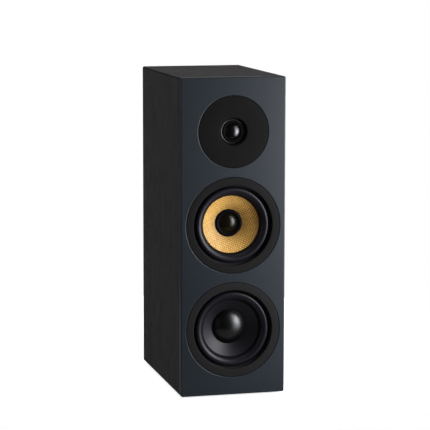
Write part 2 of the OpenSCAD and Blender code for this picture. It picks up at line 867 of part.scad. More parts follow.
module port_tube() {
    steps = 8;
    mouth = flare_points(port_r, port_flare, 0, -1, steps);
    tail = flare_points(port_r, port_tail_flare, -port_len, 1, steps);
    color([0.05, 0.05, 0.05]) on_rear(0, port_z) turned(concat(
        [for (i = [steps:-1:0]) tail[i]],
        mouth,
        [[port_flange_r, 0], [port_flange_r, -port_flange_t],
         [port_r + port_flare, -port_flange_t], [port_r + port_wall, -1.4 * port_flare],
         [port_r + port_wall, -port_len + port_flare],
         [port_r + port_tail_flare, -port_len + 0.6 * port_wall]]
    ));
}

module cup_screw_places() {
    for (x = [-1, 1], z = [-1, 1])
        translate([x * cup_screw_x, z * cup_screw_z, 0]) children();
}

module terminal_cup() {
    color([0.06, 0.06, 0.06]) on_rear(0, cup_z) difference() {
        union() {
            round_plate(cup_w, cup_h, 5, -cup_flange_t + glue_gap, 0);
            round_plate(cup_body_w, cup_body_h, 6, -cup_depth, 0);
        }
        round_plate(cup_body_w - 2 * cup_wall, cup_body_h - 2 * cup_wall, 4, cup_floor_z, 1);
        for (x = post_xs)
            translate([x, 0, 0]) bar(stud_r + turn_gap, -cup_depth - 1, 0);
        cup_screw_places() cup_screw_shape(screw_gap, 1);
    }
}

// One of the cup's screws, or with a gap and a mouth the hole that it sits in
module cup_screw_shape(gap, mouth) {
    countersunk(cup_screw_r + gap, cup_screw_head_r + gap, cup_screw_head_h, cup_screw_len,
                -screw_gap, mouth);
}

module cup_screws() {
    color([0.15, 0.15, 0.15]) on_rear(0, cup_z) cup_screw_places() difference() {
        cup_screw_shape(0, 0);
        for (turn = [0, 90])
            rotate([0, 0, turn]) cube([cup_screw_head_r, 0.6, 1.6], center = true);
    }
}

// A plated stud with a collar on the cup's floor, the plug's socket and a hole for bare wire
module post_shape() {
    difference() {
        union() {
            bar(stud_r, -cup_depth - stud_tail, stud_end_z);
            translate([0, 0, cup_floor_z + glue_gap])
                cylinder(r = knob_r - 0.5, h = collar_t - 2 * glue_gap, $fn = 6);
        }
        bar(socket_r, stud_end_z - socket_len, stud_end_z + 1);
        translate([0, 0, washer_z + 1.9]) rotate([90, 0, 0])
            cylinder(r = 1, h = 4 * stud_r, center = true, $fn = smooth);
    }
}

module washer_shape() {
    tube(knob_r - 1, stud_r + turn_gap, washer_z, knob_z - glue_gap);
}

// A ribbed knob, open at its end for the plug
module knob_shape() {
    difference() {
        bar(knob_r, knob_z, knob_z + knob_len);
        bar(stud_r + turn_gap, knob_z - 1, knob_z + knob_len + 1);
        around(knob_ribs, 0, knob_r + 0.35) bar(0.8, knob_z + 2.5, knob_z + knob_len + 1);
        translate([0, 0, knob_z + knob_len - 1])
            cylinder(r1 = stud_r, r2 = stud_r + 1.6, h = 1.3, $fn = smooth);
    }
}

module positive_post() {
    color([0.85, 0.7, 0.35]) on_rear(post_xs[0], cup_z) post_shape();
}

module negative_post() {
    color([0.85, 0.7, 0.35]) on_rear(post_xs[1], cup_z) post_shape();
}

module positive_washer() {
    color([0.85, 0.7, 0.35]) on_rear(post_xs[0], cup_z) washer_shape();
}

module negative_washer() {
    color([0.85, 0.7, 0.35]) on_rear(post_xs[1], cup_z) washer_shape();
}

module positive_knob() {
    color([0.7, 0.05, 0.04]) on_rear(post_xs[0], cup_z) knob_shape();
}

module negative_knob() {
    color([0.05, 0.05, 0.05]) on_rear(post_xs[1], cup_z) knob_shape();
}

module post_nuts() {
    color([0.7, 0.7, 0.72])
        for (x = post_xs)
            on_rear(x, cup_z) translate([0, 0, -cup_depth - nut_t - glue_gap]) difference() {
                cylinder(r = 5.6, h = nut_t, $fn = 6);
                translate([0, 0, -1]) cylinder(r = stud_r + screw_gap, h = nut_t + 2, $fn = smooth);
            }
}

// ---- Crossover ----

module crossover_board() {
    color([0.1, 0.3, 0.15]) difference() {
        translate([-board_w / 2, board_y - board_d / 2, board_z]) cube([board_w, board_d, board_t]);
        for (p = standoff_places)
            translate(p) bar(1.6 + screw_gap, board_z - 1, board_top + 1);
    }
}

module crossover_standoffs() {
    color([0.85, 0.85, 0.8])
        for (p = standoff_places)
            translate(p) {
                bar(3.5, in_z0 + glue_gap, board_z - glue_gap);
                bar(1.6, board_z - 1, board_top + 1.5);
            }
}

// Bobbin coils standing on the board, the woofer's the largest
module crossover_inductors() {
    color([0.72, 0.36, 0.18])
        for (p = [[-0.27, 0.23, 1], [0.29, 0.25, 0.79], [0.33, -0.19, 0.58]])
            coil(p[0] * board_w, board_y + p[1] * board_d, p[2] * choke_r, p[2] * choke_h);
}

module coil(x, y, outer, height) {
    cheek = 0.055 * height;
    translate([x, y, board_top + glue_gap]) difference() {
        union() {
            bar(0.95 * outer, 0, height);
            for (z = [0, height - cheek])
                bar(outer, z, z + cheek);
        }
        bar(0.47 * outer, -1, height + 1);
    }
}

// Film capacitors lying on the board, flat underneath so that they stay put
module crossover_capacitors() {
    color([0.75, 0.6, 0.2])
        for (p = [[-0.29, -0.23, 1], [0, -0.23, 0.84], [0.036, 0.23, 0.68]])
            can(p[0] * board_w, board_y + p[1] * board_d, p[2] * can_r, p[2] * can_len);
}

module can(x, y, radius, length) {
    flat = 0.07 * radius;
    translate([x, y, board_top + glue_gap + radius - flat]) rotate([90, 0, 0]) difference() {
        translate([0, 0, -length / 2]) bar(radius, 0, length);
        translate([0, flat - 2 * radius, 0])
            cube([4 * radius, 2 * radius, length + 2], center = true);
    }
}

module crossover_resistors() {
    color([0.88, 0.87, 0.82])
        for (x = [-0.18, 0.11])
            translate([x * board_w, board_y - 0.41 * board_d, board_top + glue_gap])
                cube([block_w, block_len, block_w]);
}

// ---- Wiring ----

function unit(v) = v / norm(v);

// A smooth curve through the points of a route
function smooth_route(p, n) = [
    for (i = [0:len(p) - 2], k = [0:n - 1])
        let (t = k / n, a = p[max(i - 1, 0)], b = p[i], c = p[i + 1],
             d = p[min(i + 2, len(p) - 1)])
        0.5 * (2 * b + (c - a) * t + (2 * a - 5 * b + 4 * c - d) * t * t
               + (3 * b - 3 * c + d - a) * t * t * t),
    p[len(p) - 1]
];

// One insulated wire along a route that never runs straight along X
module wire(route) {
    sides = 8;
    p = smooth_route(route, 5);
    last = len(p) - 1;
    end = len(route) - 1;
    points = [for (i = [0:last])
        let (along = i == 0 ? unit(route[1] - route[0])
                 : i == last ? unit(route[end] - route[end - 1]) : unit(p[i + 1] - p[i - 1]),
             side = unit(cross(along, [1, 0, 0])), up = cross(side, along))
        for (k = [0:sides - 1])
            p[i] + wire_r * (side * cos(360 * k / sides) + up * sin(360 * k / sides))];
    walls = [for (i = [0:last - 1], k = [0:sides - 1]) let (m = (k + 1) % sides)
        [i * sides + k, i * sides + m, (i + 1) * sides + m, (i + 1) * sides + k]];
    first_cap = [for (k = [sides - 1:-1:0]) k];
    last_cap = [for (k = [0:sides - 1]) last * sides + k];
    polyhedron(points, concat([first_cap], walls, [last_cap]));
}

module wiring_loom() {
    board_edge_y = board_y - board_d / 2 + 4;
    board_back_y = board_y + board_d / 2 - 5;
    woofer_y = front_y - blade_end_z;
    chamber_y = front_y + chamber_back_z;
    tail_y = rear_y - cup_depth - stud_tail;
    color([0.55, 0.1, 0.08]) for (s = [-1, 1]) {
        // Posts to the board
        wire([
            [s * post_gap / 2, tail_y - tip_gap, cup_z], [s * post_gap / 2, tail_y - 5, cup_z],
            [s * 6, tail_y - 11, cup_z - 30], [s * 4, tail_y - 5, board_top + 24],
            [s * 3, board_back_y, board_top + 8], [s * 3, board_back_y, board_top + tip_gap]
        ]);
        // Board to the woofer
        wire([
            [s * 3, board_edge_y, board_top + tip_gap], [s * 3, board_edge_y - 1, board_top + 8],
            [s * 4, board_edge_y - 20, board_top + 14],
            [s * blade_x, woofer_y + 25, woofer_z - blade_r - 8],
            [s * blade_x, woofer_y + 8, woofer_z - blade_r],
            [s * blade_x, woofer_y + tip_gap, woofer_z - blade_r]
        ]);
        // Board to the midrange through the gland of its chamber
        wire([
            [s * 1.6 + 12, board_edge_y, board_top + tip_gap],
            [s * 1.6 + 12, board_edge_y - 2, board_top + 12],
            [s * 1.6 + 11, board_edge_y - 3, board_top + 42],
            [s * 1.6 + 6, chamber_y + 18, brace_z],
            [s * 1.6, chamber_y + 12, mid_z - chamber_r / 2 - 14],
            [s * 1.6, chamber_y + 3, mid_z - chamber_r / 2],
            [s * 1.6, chamber_y - chamber_wall - wadding_t, mid_z - chamber_r / 2],
            [s * 3, woofer_y + 22, mid_z - magnet_r - 4],
            [s * blade_x, woofer_y + 8, mid_z - blade_r],
            [s * blade_x, woofer_y + tip_gap, mid_z - blade_r]
        ]);
        // Board to the tweeter behind the chamber and over it
        wire([
            [s * 1.6 - 12, board_edge_y, board_top + tip_gap],
            [s * 1.6 - 12, board_edge_y - 2, board_top + 12],
            [s * 1.6 - 12, board_edge_y - 3, board_top + 42],
            [s * 1.6 - 16, chamber_y + 20, brace_z], [s * 1.6 - 16, chamber_y + 14, mid_z],
            [s * 2 - 10, chamber_y + 6, mid_z + chamber_r + 6],
            [s * 3 - 4, front_y - tag_z + 35, mid_z + chamber_r + 12],
            [s * blade_x, front_y - tag_z + 10, tweeter_z - 10.5],
            [s * blade_x, front_y - tag_z + tip_gap, tweeter_z - 10]
        ]);
    }
}

left_panel();
right_panel();
top_panel();
bottom_panel();
rear_panel();
front_panel();
inner_baffle();
shelf_brace();
mid_chamber();
mid_wadding();
rubber_feet();
tweeter_cover();
tweeter_frame();
tweeter_dome();
tweeter_surround();
tweeter_voice_coil();
tweeter_top_plate();
tweeter_magnet();
tweeter_yoke();
tweeter_rear_cap();
mid_trim_ring();
mid_basket();
mid_surround();
mid_cone();
mid_cap_collar();
mid_cap_dome();
mid_voice_coil();
mid_spider();
mid_top_plate();
mid_magnet();
mid_yoke();
mid_terminals();
woofer_trim_ring();
woofer_basket();
woofer_surround();
woofer_cone();
woofer_dust_cap();
woofer_voice_coil();
woofer_spider();
woofer_top_plate();
woofer_magnet();
woofer_yoke();
woofer_terminals();
driver_screws();
port_tube();
terminal_cup();
cup_screws();
positive_post();
negative_post();
positive_washer();
negative_washer();
positive_knob();
negative_knob();
post_nuts();
crossover_board();
crossover_standoffs();
crossover_inductors();
crossover_capacitors();
crossover_resistors();
wiring_loom();
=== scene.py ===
"""Looks of a three-way bookshelf speaker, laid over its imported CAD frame.

Every visible piece is drawn here as a plain mesh in the frame's own metres, and
stands for the CAD node of the same part. The origin is the middle of the footprint,
+Z is up and the drivers face -Y.
"""

import functools
import json
import logging
import math
from dataclasses import dataclass
from enum import Enum
from typing import Callable, Iterable, Optional, Sequence, Union

import bmesh
import bpy
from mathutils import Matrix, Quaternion, Vector


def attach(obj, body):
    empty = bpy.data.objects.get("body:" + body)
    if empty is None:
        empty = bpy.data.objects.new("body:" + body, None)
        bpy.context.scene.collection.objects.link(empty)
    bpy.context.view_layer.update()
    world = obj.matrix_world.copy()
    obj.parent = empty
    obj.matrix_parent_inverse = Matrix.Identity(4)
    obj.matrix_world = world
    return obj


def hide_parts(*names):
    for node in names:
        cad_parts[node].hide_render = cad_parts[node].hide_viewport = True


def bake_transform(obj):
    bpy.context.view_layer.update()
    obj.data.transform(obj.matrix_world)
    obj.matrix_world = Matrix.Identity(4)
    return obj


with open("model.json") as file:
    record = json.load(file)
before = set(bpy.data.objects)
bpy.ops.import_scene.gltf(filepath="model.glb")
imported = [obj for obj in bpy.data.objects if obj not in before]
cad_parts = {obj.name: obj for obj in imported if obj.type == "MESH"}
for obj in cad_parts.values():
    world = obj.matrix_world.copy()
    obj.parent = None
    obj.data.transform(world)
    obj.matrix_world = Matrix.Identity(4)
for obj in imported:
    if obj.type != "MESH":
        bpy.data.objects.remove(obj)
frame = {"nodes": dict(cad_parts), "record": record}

log = logging.getLogger("speaker")

MM = 0.001
Point2 = tuple[float, float]
Colour = tuple[float, float, float]
WHITE = (1.0, 1.0, 1.0, 1.0)

CABINET = "cabinet"
FRONT_Y = -135 * MM
REAR_Y = 135 * MM
TWEETER_Z = 411.7 * MM
MID_Z = 267.5 * MM
WOOFER_Z = 105.0 * MM
BOARD_THICK = 15 * MM


# ---------------------------------------------------------------- shader maths


class Signal:
    """One output socket of a shader graph, with arithmetic that adds Math nodes."""

    def __init__(self, graph: "Graph", socket: bpy.types.NodeSocket) -> None:
        """Wraps a socket.

        Args:
            graph: The graph that the socket belongs to.
            socket: The output socket.
        """
        self.graph = graph
        self.socket = socket

    def math(self, operation: str, *others: "Number") -> "Signal":
        """Adds one Math node whose first input is this signal.

        Args:
            operation: The Math node's operation.
            others: Its further inputs.

        Returns:
            The node's result.
        """
        inputs = dict(enumerate((self, *others)))
        return self.graph.node("ShaderNodeMath", {"operation": operation}, inputs)

    def __add__(self, other: "Number") -> "Signal":
        """Returns self + other."""
        return self.math("ADD", other)

    def __sub__(self, other: "Number") -> "Signal":
        """Returns self - other."""
        return self.math("SUBTRACT", other)

    def __rsub__(self, other: "Number") -> "Signal":
        """Returns other - self."""
        return self.math("MULTIPLY", -1.0).math("ADD", other)

    def __mul__(self, other: "Number") -> "Signal":
        """Returns self * other."""
        return self.math("MULTIPLY", other)

    def __truediv__(self, other: "Number") -> "Signal":
        """Returns self / other."""
        return self.math("DIVIDE", other)

    def __pow__(self, other: "Number") -> "Signal":
        """Returns self ** other."""
        return self.math("POWER", other)

    def __mod__(self, other: "Number") -> "Signal":
        """Returns self % other, never negative."""
        return self.math("FLOORED_MODULO", other)

    def smooth(self, low: float, high: float) -> "Signal":
        """A smooth step from 0 at low to 1 at high.

        Args:
            low: Where the step starts.
            high: Where it ends.

        Returns:
            The step.
        """
        settings = {"interpolation_type": "SMOOTHSTEP"}
        inputs = {"Value": self, "From Min": low, "From Max": high}
        return self.graph.node("ShaderNodeMapRange", settings, inputs)


Number = Union[Signal, float, int]


class Graph:
    """A material's node graph around one Principled shader."""

    def __init__(self, name: str) -> None:
        """Starts an empty graph.

        Args:
            name: The material's name.
        """
        self.material = bpy.data.materials.new(name)
        self.material.use_nodes = True
        self.tree = self.material.node_tree
        self.tree.nodes.clear()
        self.output = self.tree.nodes.new("ShaderNodeOutputMaterial")

    def node(
        self,
        kind: str,
        settings: Optional[dict[str, object]] = None,
        inputs: Optional[dict[Union[str, int], object]] = None,
        out: Union[str, int] = 0,
    ) -> Signal:
        """Adds a node of any kind.

        Args:
            kind: The node's type name.
            settings: Attributes to set on it.
            inputs: Values or signals for its inputs, by name or number.
            out: The output to return.

        Returns:
            That output.
        """
        made = self.tree.nodes.new(kind)
        for key, value in (settings or {}).items():
            setattr(made, key, value)
        for key, value in (inputs or {}).items():
            if isinstance(value, Signal):
                self.tree.links.new(value.socket, made.inputs[key])
            else:
                made.inputs[key].default_value = value
        return Signal(self, made.outputs[out])

    def place(self) -> Signal:
        """Returns the point being shaded, in the object's own coordinates."""
        return self.node("ShaderNodeTexCoord", out="Object")

    def scaled(self, vector: Signal, x: float, y: float, z: float) -> Signal:
        """Scales a vector along each axis.

        Args:
            vector: The vector.
            x: Scale along X.
            y: Scale along Y.
            z: Scale along Z.

        Returns:
            The scaled vector.
        """
        inputs = {0: vector, 1: (x, y, z)}
        return self.node("ShaderNodeVectorMath", {"operation": "MULTIPLY"}, inputs)

    def across(self, height: float) -> tuple[Signal, Signal, Signal]:
        """Where the shaded point lies across a driver.

        Args:
            height: Height of the driver's axis above the floor.

        Returns:
            Its distances from the axis along X and Z, and its radius.
        """
        made = self.node("ShaderNodeSeparateXYZ", inputs={0: self.place()}).socket.node
        x, _, up = (Signal(self, socket) for socket in made.outputs)
        z = up - height
        return x, z, (x * x + z * z) ** 0.5

    def noise(self, vector: Signal, scale: float, detail: float = 3.0, rough: float = 0.5) -> Signal:
        """A noise texture's value, from 0 to 1.

        Args:
            vector: Where to sample it.
            scale: Features per metre of the vector.
            detail: Octaves.
            rough: Strength of the finer octaves.

        Returns:
            The value.
        """
        inputs = {"Vector": vector, "Scale": scale, "Detail": detail, "Roughness": rough}
        return self.node("ShaderNodeTexNoise", inputs=inputs)

    def mix(self, low: Union[Signal, Colour], high: Union[Signal, Colour], share: Number) -> Signal:
        """Blends two colours.

        Args:
            low: The colour at share 0.
            high: The colour at share 1.
            share: The share.

        Returns:
            The blend.
        """
        ends = [c if isinstance(c, Signal) else (*c, 1.0) for c in (low, high)]
        inputs = {0: share, 6: ends[0], 7: ends[1]}
        return self.node("ShaderNodeMix", {"data_type": "RGBA"}, inputs, out=2)

    def bump(self, height: Signal, strength: float, distance: float) -> Signal:
        """Turns a height into a normal.

        Args:
            height: The height, about 0 to 1.
            strength: How much of it shows.
            distance: The height's span in metres.

        Returns:
            The normal.
        """
        inputs = {"Height": height, "Strength": strength, "Distance": distance}
        return self.node("ShaderNodeBump", inputs=inputs)

    def finish(self, **inputs: object) -> bpy.types.Material:
        """Closes the graph with a Principled shader.

        Args:
            inputs: The shader's inputs, with underscores for spaces in their names.

        Returns:
            The finished material.
        """
        named = {key.replace("_", " "): value for key, value in inputs.items()}
        shader = self.node("ShaderNodeBsdfPrincipled", inputs=named)
        self.tree.links.new(shader.socket, self.output.inputs["Surface"])
        return self.material


# -------------------------------------------------------------------- finishes


@dataclass(frozen=True)
class Finish:
    """A plain finish with slight unevenness in colour and gloss."""

    name: str
    colour: Colour
    roughness: float = 0.5
    grain: float = 900.0
    relief: float = 0.02 * MM
    uneven: float = 0.12
    specular: float = 0.5

    def material(self) -> bpy.types.Material:
        """Returns this finish's material, made once."""
        title = self.name + "_finish"
        return bpy.data.materials.get(title) or self.make(Graph(title))

    def shades(self) -> tuple[Colour, Colour]:
        """Returns the colour where it is darkest and where it is lightest."""
        dark, light = (tuple(c * k for c in self.colour) for k in (1.0 - self.uneven, 1.0 + self.uneven))
        return dark, light

    def make(self, g: Graph) -> bpy.types.Material:
        """Fills the graph.

        Args:
            g: The graph to fill.

        Returns:
            The finished material.
        """
        fine = g.noise(g.place(), scale=self.grain, detail=4.0, rough=0.6)
        broad = g.noise(g.place(), scale=14.0, detail=2.0)
        return g.finish(
            Base_Color=g.mix(*self.shades(), fine * 0.5 + broad * 0.5),
            Roughness=(broad - 0.5) * 0.12 + (fine - 0.5) * 0.1 + self.roughness,
            Normal=g.bump(fine, strength=1.0, distance=self.relief),
            Specular_IOR_Level=self.specular,
        )


class Grain(Enum):
    """Which way the wood figure of a wrap runs: the scale of its noise along X, Y and Z."""

    UPRIGHT = (1.0, 1.0, 0.035)
    ACROSS = (0.035, 1.0, 1.0)


@dataclass(frozen=True)
class AshWrap(Finish):
    """Black ash film: long dark pores in a satin, slightly lighter ground."""

    direction: Grain = Grain.UPRIGHT
    pore: Colour = (0.006, 0.006, 0.006)

    def make(self, g: Graph) -> bpy.types.Material:
        """Fills the graph.

        Args:
            g: The graph to fill.

        Returns:
            The finished material.
        """
        along = g.scaled(g.place(), *self.direction.value)
        drift = g.noise(along, scale=60.0, detail=3.0) * 0.02
        wavy = g.node("ShaderNodeVectorMath", {"operation": "ADD"}, {0: along, 1: drift})
        streak = g.noise(wavy, scale=900.0, detail=5.0, rough=0.65)
        band = g.noise(wavy, scale=130.0, detail=3.0, rough=0.55)
        pores = streak.smooth(0.50, 0.64) * 0.8 + band.smooth(0.5, 0.75) * 0.35
        ground = g.mix(self.colour, tuple(c * 1.35 for c in self.colour), band)
        return g.finish(
            Base_Color=g.mix(ground, self.pore, pores.math("MINIMUM", 1.0)),
            Roughness=pores * 0.16 + self.roughness,
            Normal=g.bump(1.0 - pores, strength=0.8, distance=0.06 * MM),
            Specular_IOR_Level=self.specular,
        )


@dataclass(frozen=True)
class SatinLacquer(Finish):
    """Sprayed satin lacquer with faint orange peel."""

    uneven: float = 0.07

    def make(self, g: Graph) -> bpy.types.Material:
        """Fills the graph.

        Args:
            g: The graph to fill.

        Returns:
            The finished material.
        """
        peel = g.noise(g.place(), scale=520.0, detail=2.0, rough=0.4)
        speck = g.noise(g.place(), scale=4200.0, detail=2.0, rough=0.7)
        cloud = g.noise(g.place(), scale=9.0, detail=2.0)
        return g.finish(
            Base_Color=g.mix(*self.shades(), cloud * 0.6 + speck * 0.4),
            Roughness=(speck - 0.5) * 0.08 + self.roughness,
            Normal=g.bump(peel * 0.8 + speck * 0.2, strength=0.5, distance=0.01 * MM),
            Specular_IOR_Level=self.specular,
        )


@dataclass(frozen=True)
class WovenFibre(Finish):
    """Plain weave of flat yarns, set across the cone as it was cut from the cloth.

    The fibre is the scale of its noise across, through and along a yarn. The painted cap shade radii are
    the two radii between which the cone comes out of the painted shade of its cap.
    """

    pitch: float = 2.2 * MM
    turn: float = 22.0
    fibre: tuple[float, float, float] = (9000.0, 60.0, 500.0)
    gap: Colour = (0.05, 0.018, 0.003)
    pale: Colour = (0.98, 0.60, 0.15)
    height: float = 0.0
    painted_cap_shade_radii: Point2 = (20 * MM, 36 * MM)

    def make(self, g: Graph) -> bpy.types.Material:
        """Fills the graph.

        Args:
            g: The graph to fill.

        Returns:
            The finished material.
        """
        x, z, radius = g.across(self.height)
        c, s = math.cos(math.radians(self.turn)), math.sin(math.radians(self.turn))
        u = (x * c + z * s) / self.pitch
        v = (z * c - x * s) / self.pitch
        column, row = u.math("FLOOR"), v.math("FLOOR")
        across_u, across_v = u % 1.0 - 0.5, v % 1.0 - 0.5
        odd = (column + row) % 2.0
        round_u = 1.0 - across_u * across_u * 4.0
        round_v = 1.0 - across_v * across_v * 4.0
        warp = (round_u ** 0.5) * (round_v * 0.5 + 0.5)
        weft = (round_v ** 0.5) * (round_u * 0.5 + 0.5)
        height = warp * odd + weft * (1.0 - odd)
        fibre_u = g.noise(g.scaled(g.place(), *self.fibre), scale=1.0, detail=2.0)
        fibre_v = g.noise(g.scaled(g.place(), *self.fibre[::-1]), scale=1.0, detail=2.0)
        fibre = fibre_u * odd + fibre_v * (1.0 - odd)
        yarn = self.random(g, column, 0.0) * odd + self.random(g, row, 7.5) * (1.0 - odd)
        cell = self.random(g, column, row)
        # Warp cells are painted lighter than weft cells as painted sheen; the yarn, cell and fibre tone is
        # the cloth's own.
        warp_sheen_and_tone = odd * 0.55 + yarn * 0.25 + cell * 0.25 + (fibre - 0.5) * 0.4
        body = g.mix(self.colour, self.pale, warp_sheen_and_tone.math("MAXIMUM", 0.0))
        cloth = g.mix(self.gap, body, height.smooth(0.1, 0.75))
        # Towards the cap the cloth is mixed with the gap colour: painted shade of the cap.
        tone = g.mix(self.gap, cloth, radius.smooth(*self.painted_cap_shade_radii) * 0.35 + 0.65)
        return g.finish(
            Base_Color=tone,
            Roughness=self.roughness - height * 0.12 + (fibre - 0.5) * 0.1,
            Normal=g.bump(height * 0.85 + fibre * 0.15, strength=0.8, distance=0.22 * MM),
            Sheen_Weight=0.08,
            Sheen_Roughness=0.4,
        )

    def random(self, g: Graph, column: Signal, row: Number) -> Signal:
        """A random value from 0 to 1 for a yarn or a cell of the cloth.

        Args:
            g: The graph.
            column: The cell's first number.
            row: Its second number.

        Returns:
            The value, the same all over the cell.
        """
        place = g.node("ShaderNodeCombineXYZ", inputs={0: column, 1: row})
        return g.node("ShaderNodeTexWhiteNoise", {"noise_dimensions": "2D"}, {"Vector": place})


@dataclass(frozen=True)
class TurnedSheen(Finish):
    """A satin surface with faint rings about a driver's axis, as pressing leaves them."""

    height: float = 0.0
    rings: float = 900.0

    def make(self, g: Graph) -> bpy.types.Material:
        """Fills the graph.

        Args:
            g: The graph to fill.

        Returns:
            The finished material.
        """
        _, _, radius = g.across(self.height)
        ring = (radius * self.rings * 2.0 * math.pi).math("SINE") * 0.5 + 0.5
        fine = g.noise(g.place(), scale=self.grain, detail=5.0, rough=0.65)
        return g.finish(
            Base_Color=g.mix(*self.shades(), fine),
            Roughness=(fine - 0.5) * 0.14 + self.roughness,
            Normal=g.bump(fine * 0.8 + ring * 0.2, strength=1.0, distance=self.relief),
            Specular_IOR_Level=self.specular,
        )


@dataclass(frozen=True)
class TurnedMoulding(TurnedSheen):
    """The grained black moulding of the trim rings and the cover plate."""

    roughness: float = 0.62
    grain: float = 2600.0
    relief: float = 0.06 * MM
    uneven: float = 0.3
    specular: float = 0.08
    rings: float = 450.0


@dataclass(frozen=True)
class Metal(Finish):
    """A plated or bare metal with fine scratches."""

    def make(self, g: Graph) -> bpy.types.Material:
        """Fills the graph.

        Args:
            g: The graph to fill.

        Returns:
            The finished material.
        """
        drawn = g.scaled(g.place(), 1.0, 0.08, 1.0)
        scratch = g.noise(drawn, scale=3000.0, detail=4.0, rough=0.7)
        dull = tuple(c * 0.85 for c in self.colour)
        return g.finish(
            Base_Color=g.mix(dull, self.colour, scratch),
            Roughness=(scratch - 0.5) * 0.18 + self.roughness,
            Metallic=1.0,
            Normal=g.bump(scratch, strength=0.5, distance=0.008 * MM),
        )


ASH_SIDE = AshWrap("ash_wrap_upright", (0.044, 0.0435, 0.043), 0.7, specular=0.1)
# The top's ash is a lighter copy of the sides' ash: painted light from above. Its grain runs across.
LIT_ASH_TOP = AshWrap(
    "ash_wrap_across", (0.060, 0.056, 0.053), 0.7, specular=0.1, direction=Grain.ACROSS,
    pore=(0.017, 0.015, 0.014),
)
FOLD = AshWrap("ash_wrap_fold", (0.020, 0.0195, 0.019), 0.75, specular=0.04)
LACQUER = SatinLacquer("front_lacquer", (0.0072, 0.0122, 0.0175), 0.38, specular=0.47)
# The woofer's ring is a lighter copy of the mid's moulding: painted light.
MID_RING = TurnedMoulding("mid_ring_moulding", (0.0100, 0.0093, 0.0091), height=MID_Z)
LIT_WOOFER_RING = TurnedMoulding("woofer_ring_moulding", (0.0150, 0.0141, 0.0137), height=WOOFER_Z)
PLATE = TurnedMoulding("tweeter_plate", (0.0042, 0.0040, 0.0039), height=TWEETER_Z)
THROAT = Finish("throat_black", (0.003, 0.003, 0.003), 0.6, grain=1800.0, specular=0.06)
MOULDING = Finish("black_moulding", (0.010, 0.010, 0.0105), 0.42, grain=1800.0, specular=0.3)
BASKET = Finish("basket_coat", (0.012, 0.012, 0.013), 0.5, grain=1600.0, relief=0.05 * MM, specular=0.3)
RUBBER = Finish(
    "surround_rubber", (0.0045, 0.0042, 0.0072), 0.39, grain=1500.0, relief=0.01 * MM, uneven=0.2,
    specular=0.25,
)
FOOT = Finish("foot_rubber", (0.012, 0.012, 0.012), 0.75, grain=900.0)
WEAVE = WovenFibre("woven_cone", (0.39, 0.185, 0.028), 0.5, height=MID_Z)
PULP = TurnedSheen(
    "woofer_pulp", (0.0014, 0.0012, 0.0036), 0.46, height=WOOFER_Z, grain=1900.0, relief=0.04 * MM,
    uneven=0.3, specular=0.41,
)
CAP = TurnedSheen(
    "woofer_cap", (0.0007, 0.0007, 0.0008), 0.29, height=WOOFER_Z, grain=2400.0, relief=0.02 * MM, uneven=0.2,
)
COLLAR = Finish("cap_collar_rubber", (0.002, 0.002, 0.0026), 0.58, specular=0.05)
# Near-black on the surround's edges; on its landing by the trim ring this is painted shade.
RIM = Finish("surround_rim", (0.003, 0.003, 0.0035), 0.6, specular=0.15)
# The centre dome's brownish tint is a painted reflection of the gold cone round it.
CENTRE_WITH_PAINTED_REFLECTION = Finish("centre_dome_gloss", (0.0060, 0.0042, 0.0014), 0.18, relief=0.002 * MM, specular=0.23)
SILK = TurnedSheen(
    "tweeter_silk", (0.0015, 0.0015, 0.0017), 0.2, height=TWEETER_Z, grain=3600.0, relief=0.005 * MM,
    specular=0.52,
)
SILK_ROLL = Finish("tweeter_silk_roll", (0.0015, 0.0015, 0.0016), 0.5, grain=3600.0, specular=0.05)
BEAD = Metal("throat_bead", (0.16, 0.16, 0.165), 0.3)
SPIDER = Finish("spider_cloth", (0.40, 0.27, 0.10), 0.8)
COPPER = Metal("copper_winding", (0.62, 0.27, 0.13), 0.35)
FERRITE = Finish("ferrite", (0.035, 0.035, 0.04), 0.6)
STEEL = Metal("zinc_plate", (0.50, 0.51, 0.54), 0.3)
SCREW = Metal("black_screw", (0.05, 0.05, 0.055), 0.35)
TINNED = Metal("tinned_tag", (0.60, 0.57, 0.48), 0.3)
GILT = Metal("gilt_post", (0.80, 0.58, 0.25), 0.2)
RED = Finish("knob_red", (0.42, 0.012, 0.010), 0.25, relief=0.004 * MM)
BLACK = Finish("knob_black", (0.010, 0.010, 0.010), 0.25, relief=0.004 * MM)
BOARD = Finish("board_green", (0.02, 0.10, 0.04), 0.4)
NYLON = Finish("nylon", (0.70, 0.70, 0.66), 0.5)
FILM = Finish("capacitor_film", (0.55, 0.38, 0.07), 0.3)
CEMENT = Finish("resistor_cement", (0.72, 0.71, 0.67), 0.85)
WIRE = Finish("wire_sheath", (0.28, 0.02, 0.015), 0.4)
FLEECE = Finish("wadding_fleece", (0.72, 0.72, 0.70), 0.95, relief=0.5 * MM)
BOARD_RAW = Finish("raw_fibreboard", (0.42, 0.30, 0.18), 0.85, grain=2500.0)

SLOT_FINISH: dict[str, Finish] = {
    "case_wrap": ASH_SIDE, "top_wrap": LIT_ASH_TOP, "front_lacquer": LACQUER,
    "fibreboard": BOARD_RAW, "trim_black": MID_RING, "moulded_black": MOULDING,
    "basket_paint": BASKET, "surround_rubber": RUBBER, "foot_rubber": FOOT,
    "woven_cone": WEAVE, "coated_paper": PULP, "dome_silk": SILK, "collar_rubber": COLLAR,
    "centre_dome": CENTRE_WITH_PAINTED_REFLECTION, "spider_cloth": SPIDER, "copper_wire": COPPER,
    "ferrite": FERRITE, "plated_steel": STEEL, "black_screw": SCREW,
    "tinned_brass": TINNED, "gilt_brass": GILT, "knob_red": RED, "knob_black": BLACK,
    "board_green": BOARD, "nylon": NYLON, "film_yellow": FILM, "cement_white": CEMENT,
    "wire_red": WIRE, "wadding": FLEECE,
}


# ---------------------------------------------------------------------- meshes

# Points closer than this are one point.
TINY = 1e-7
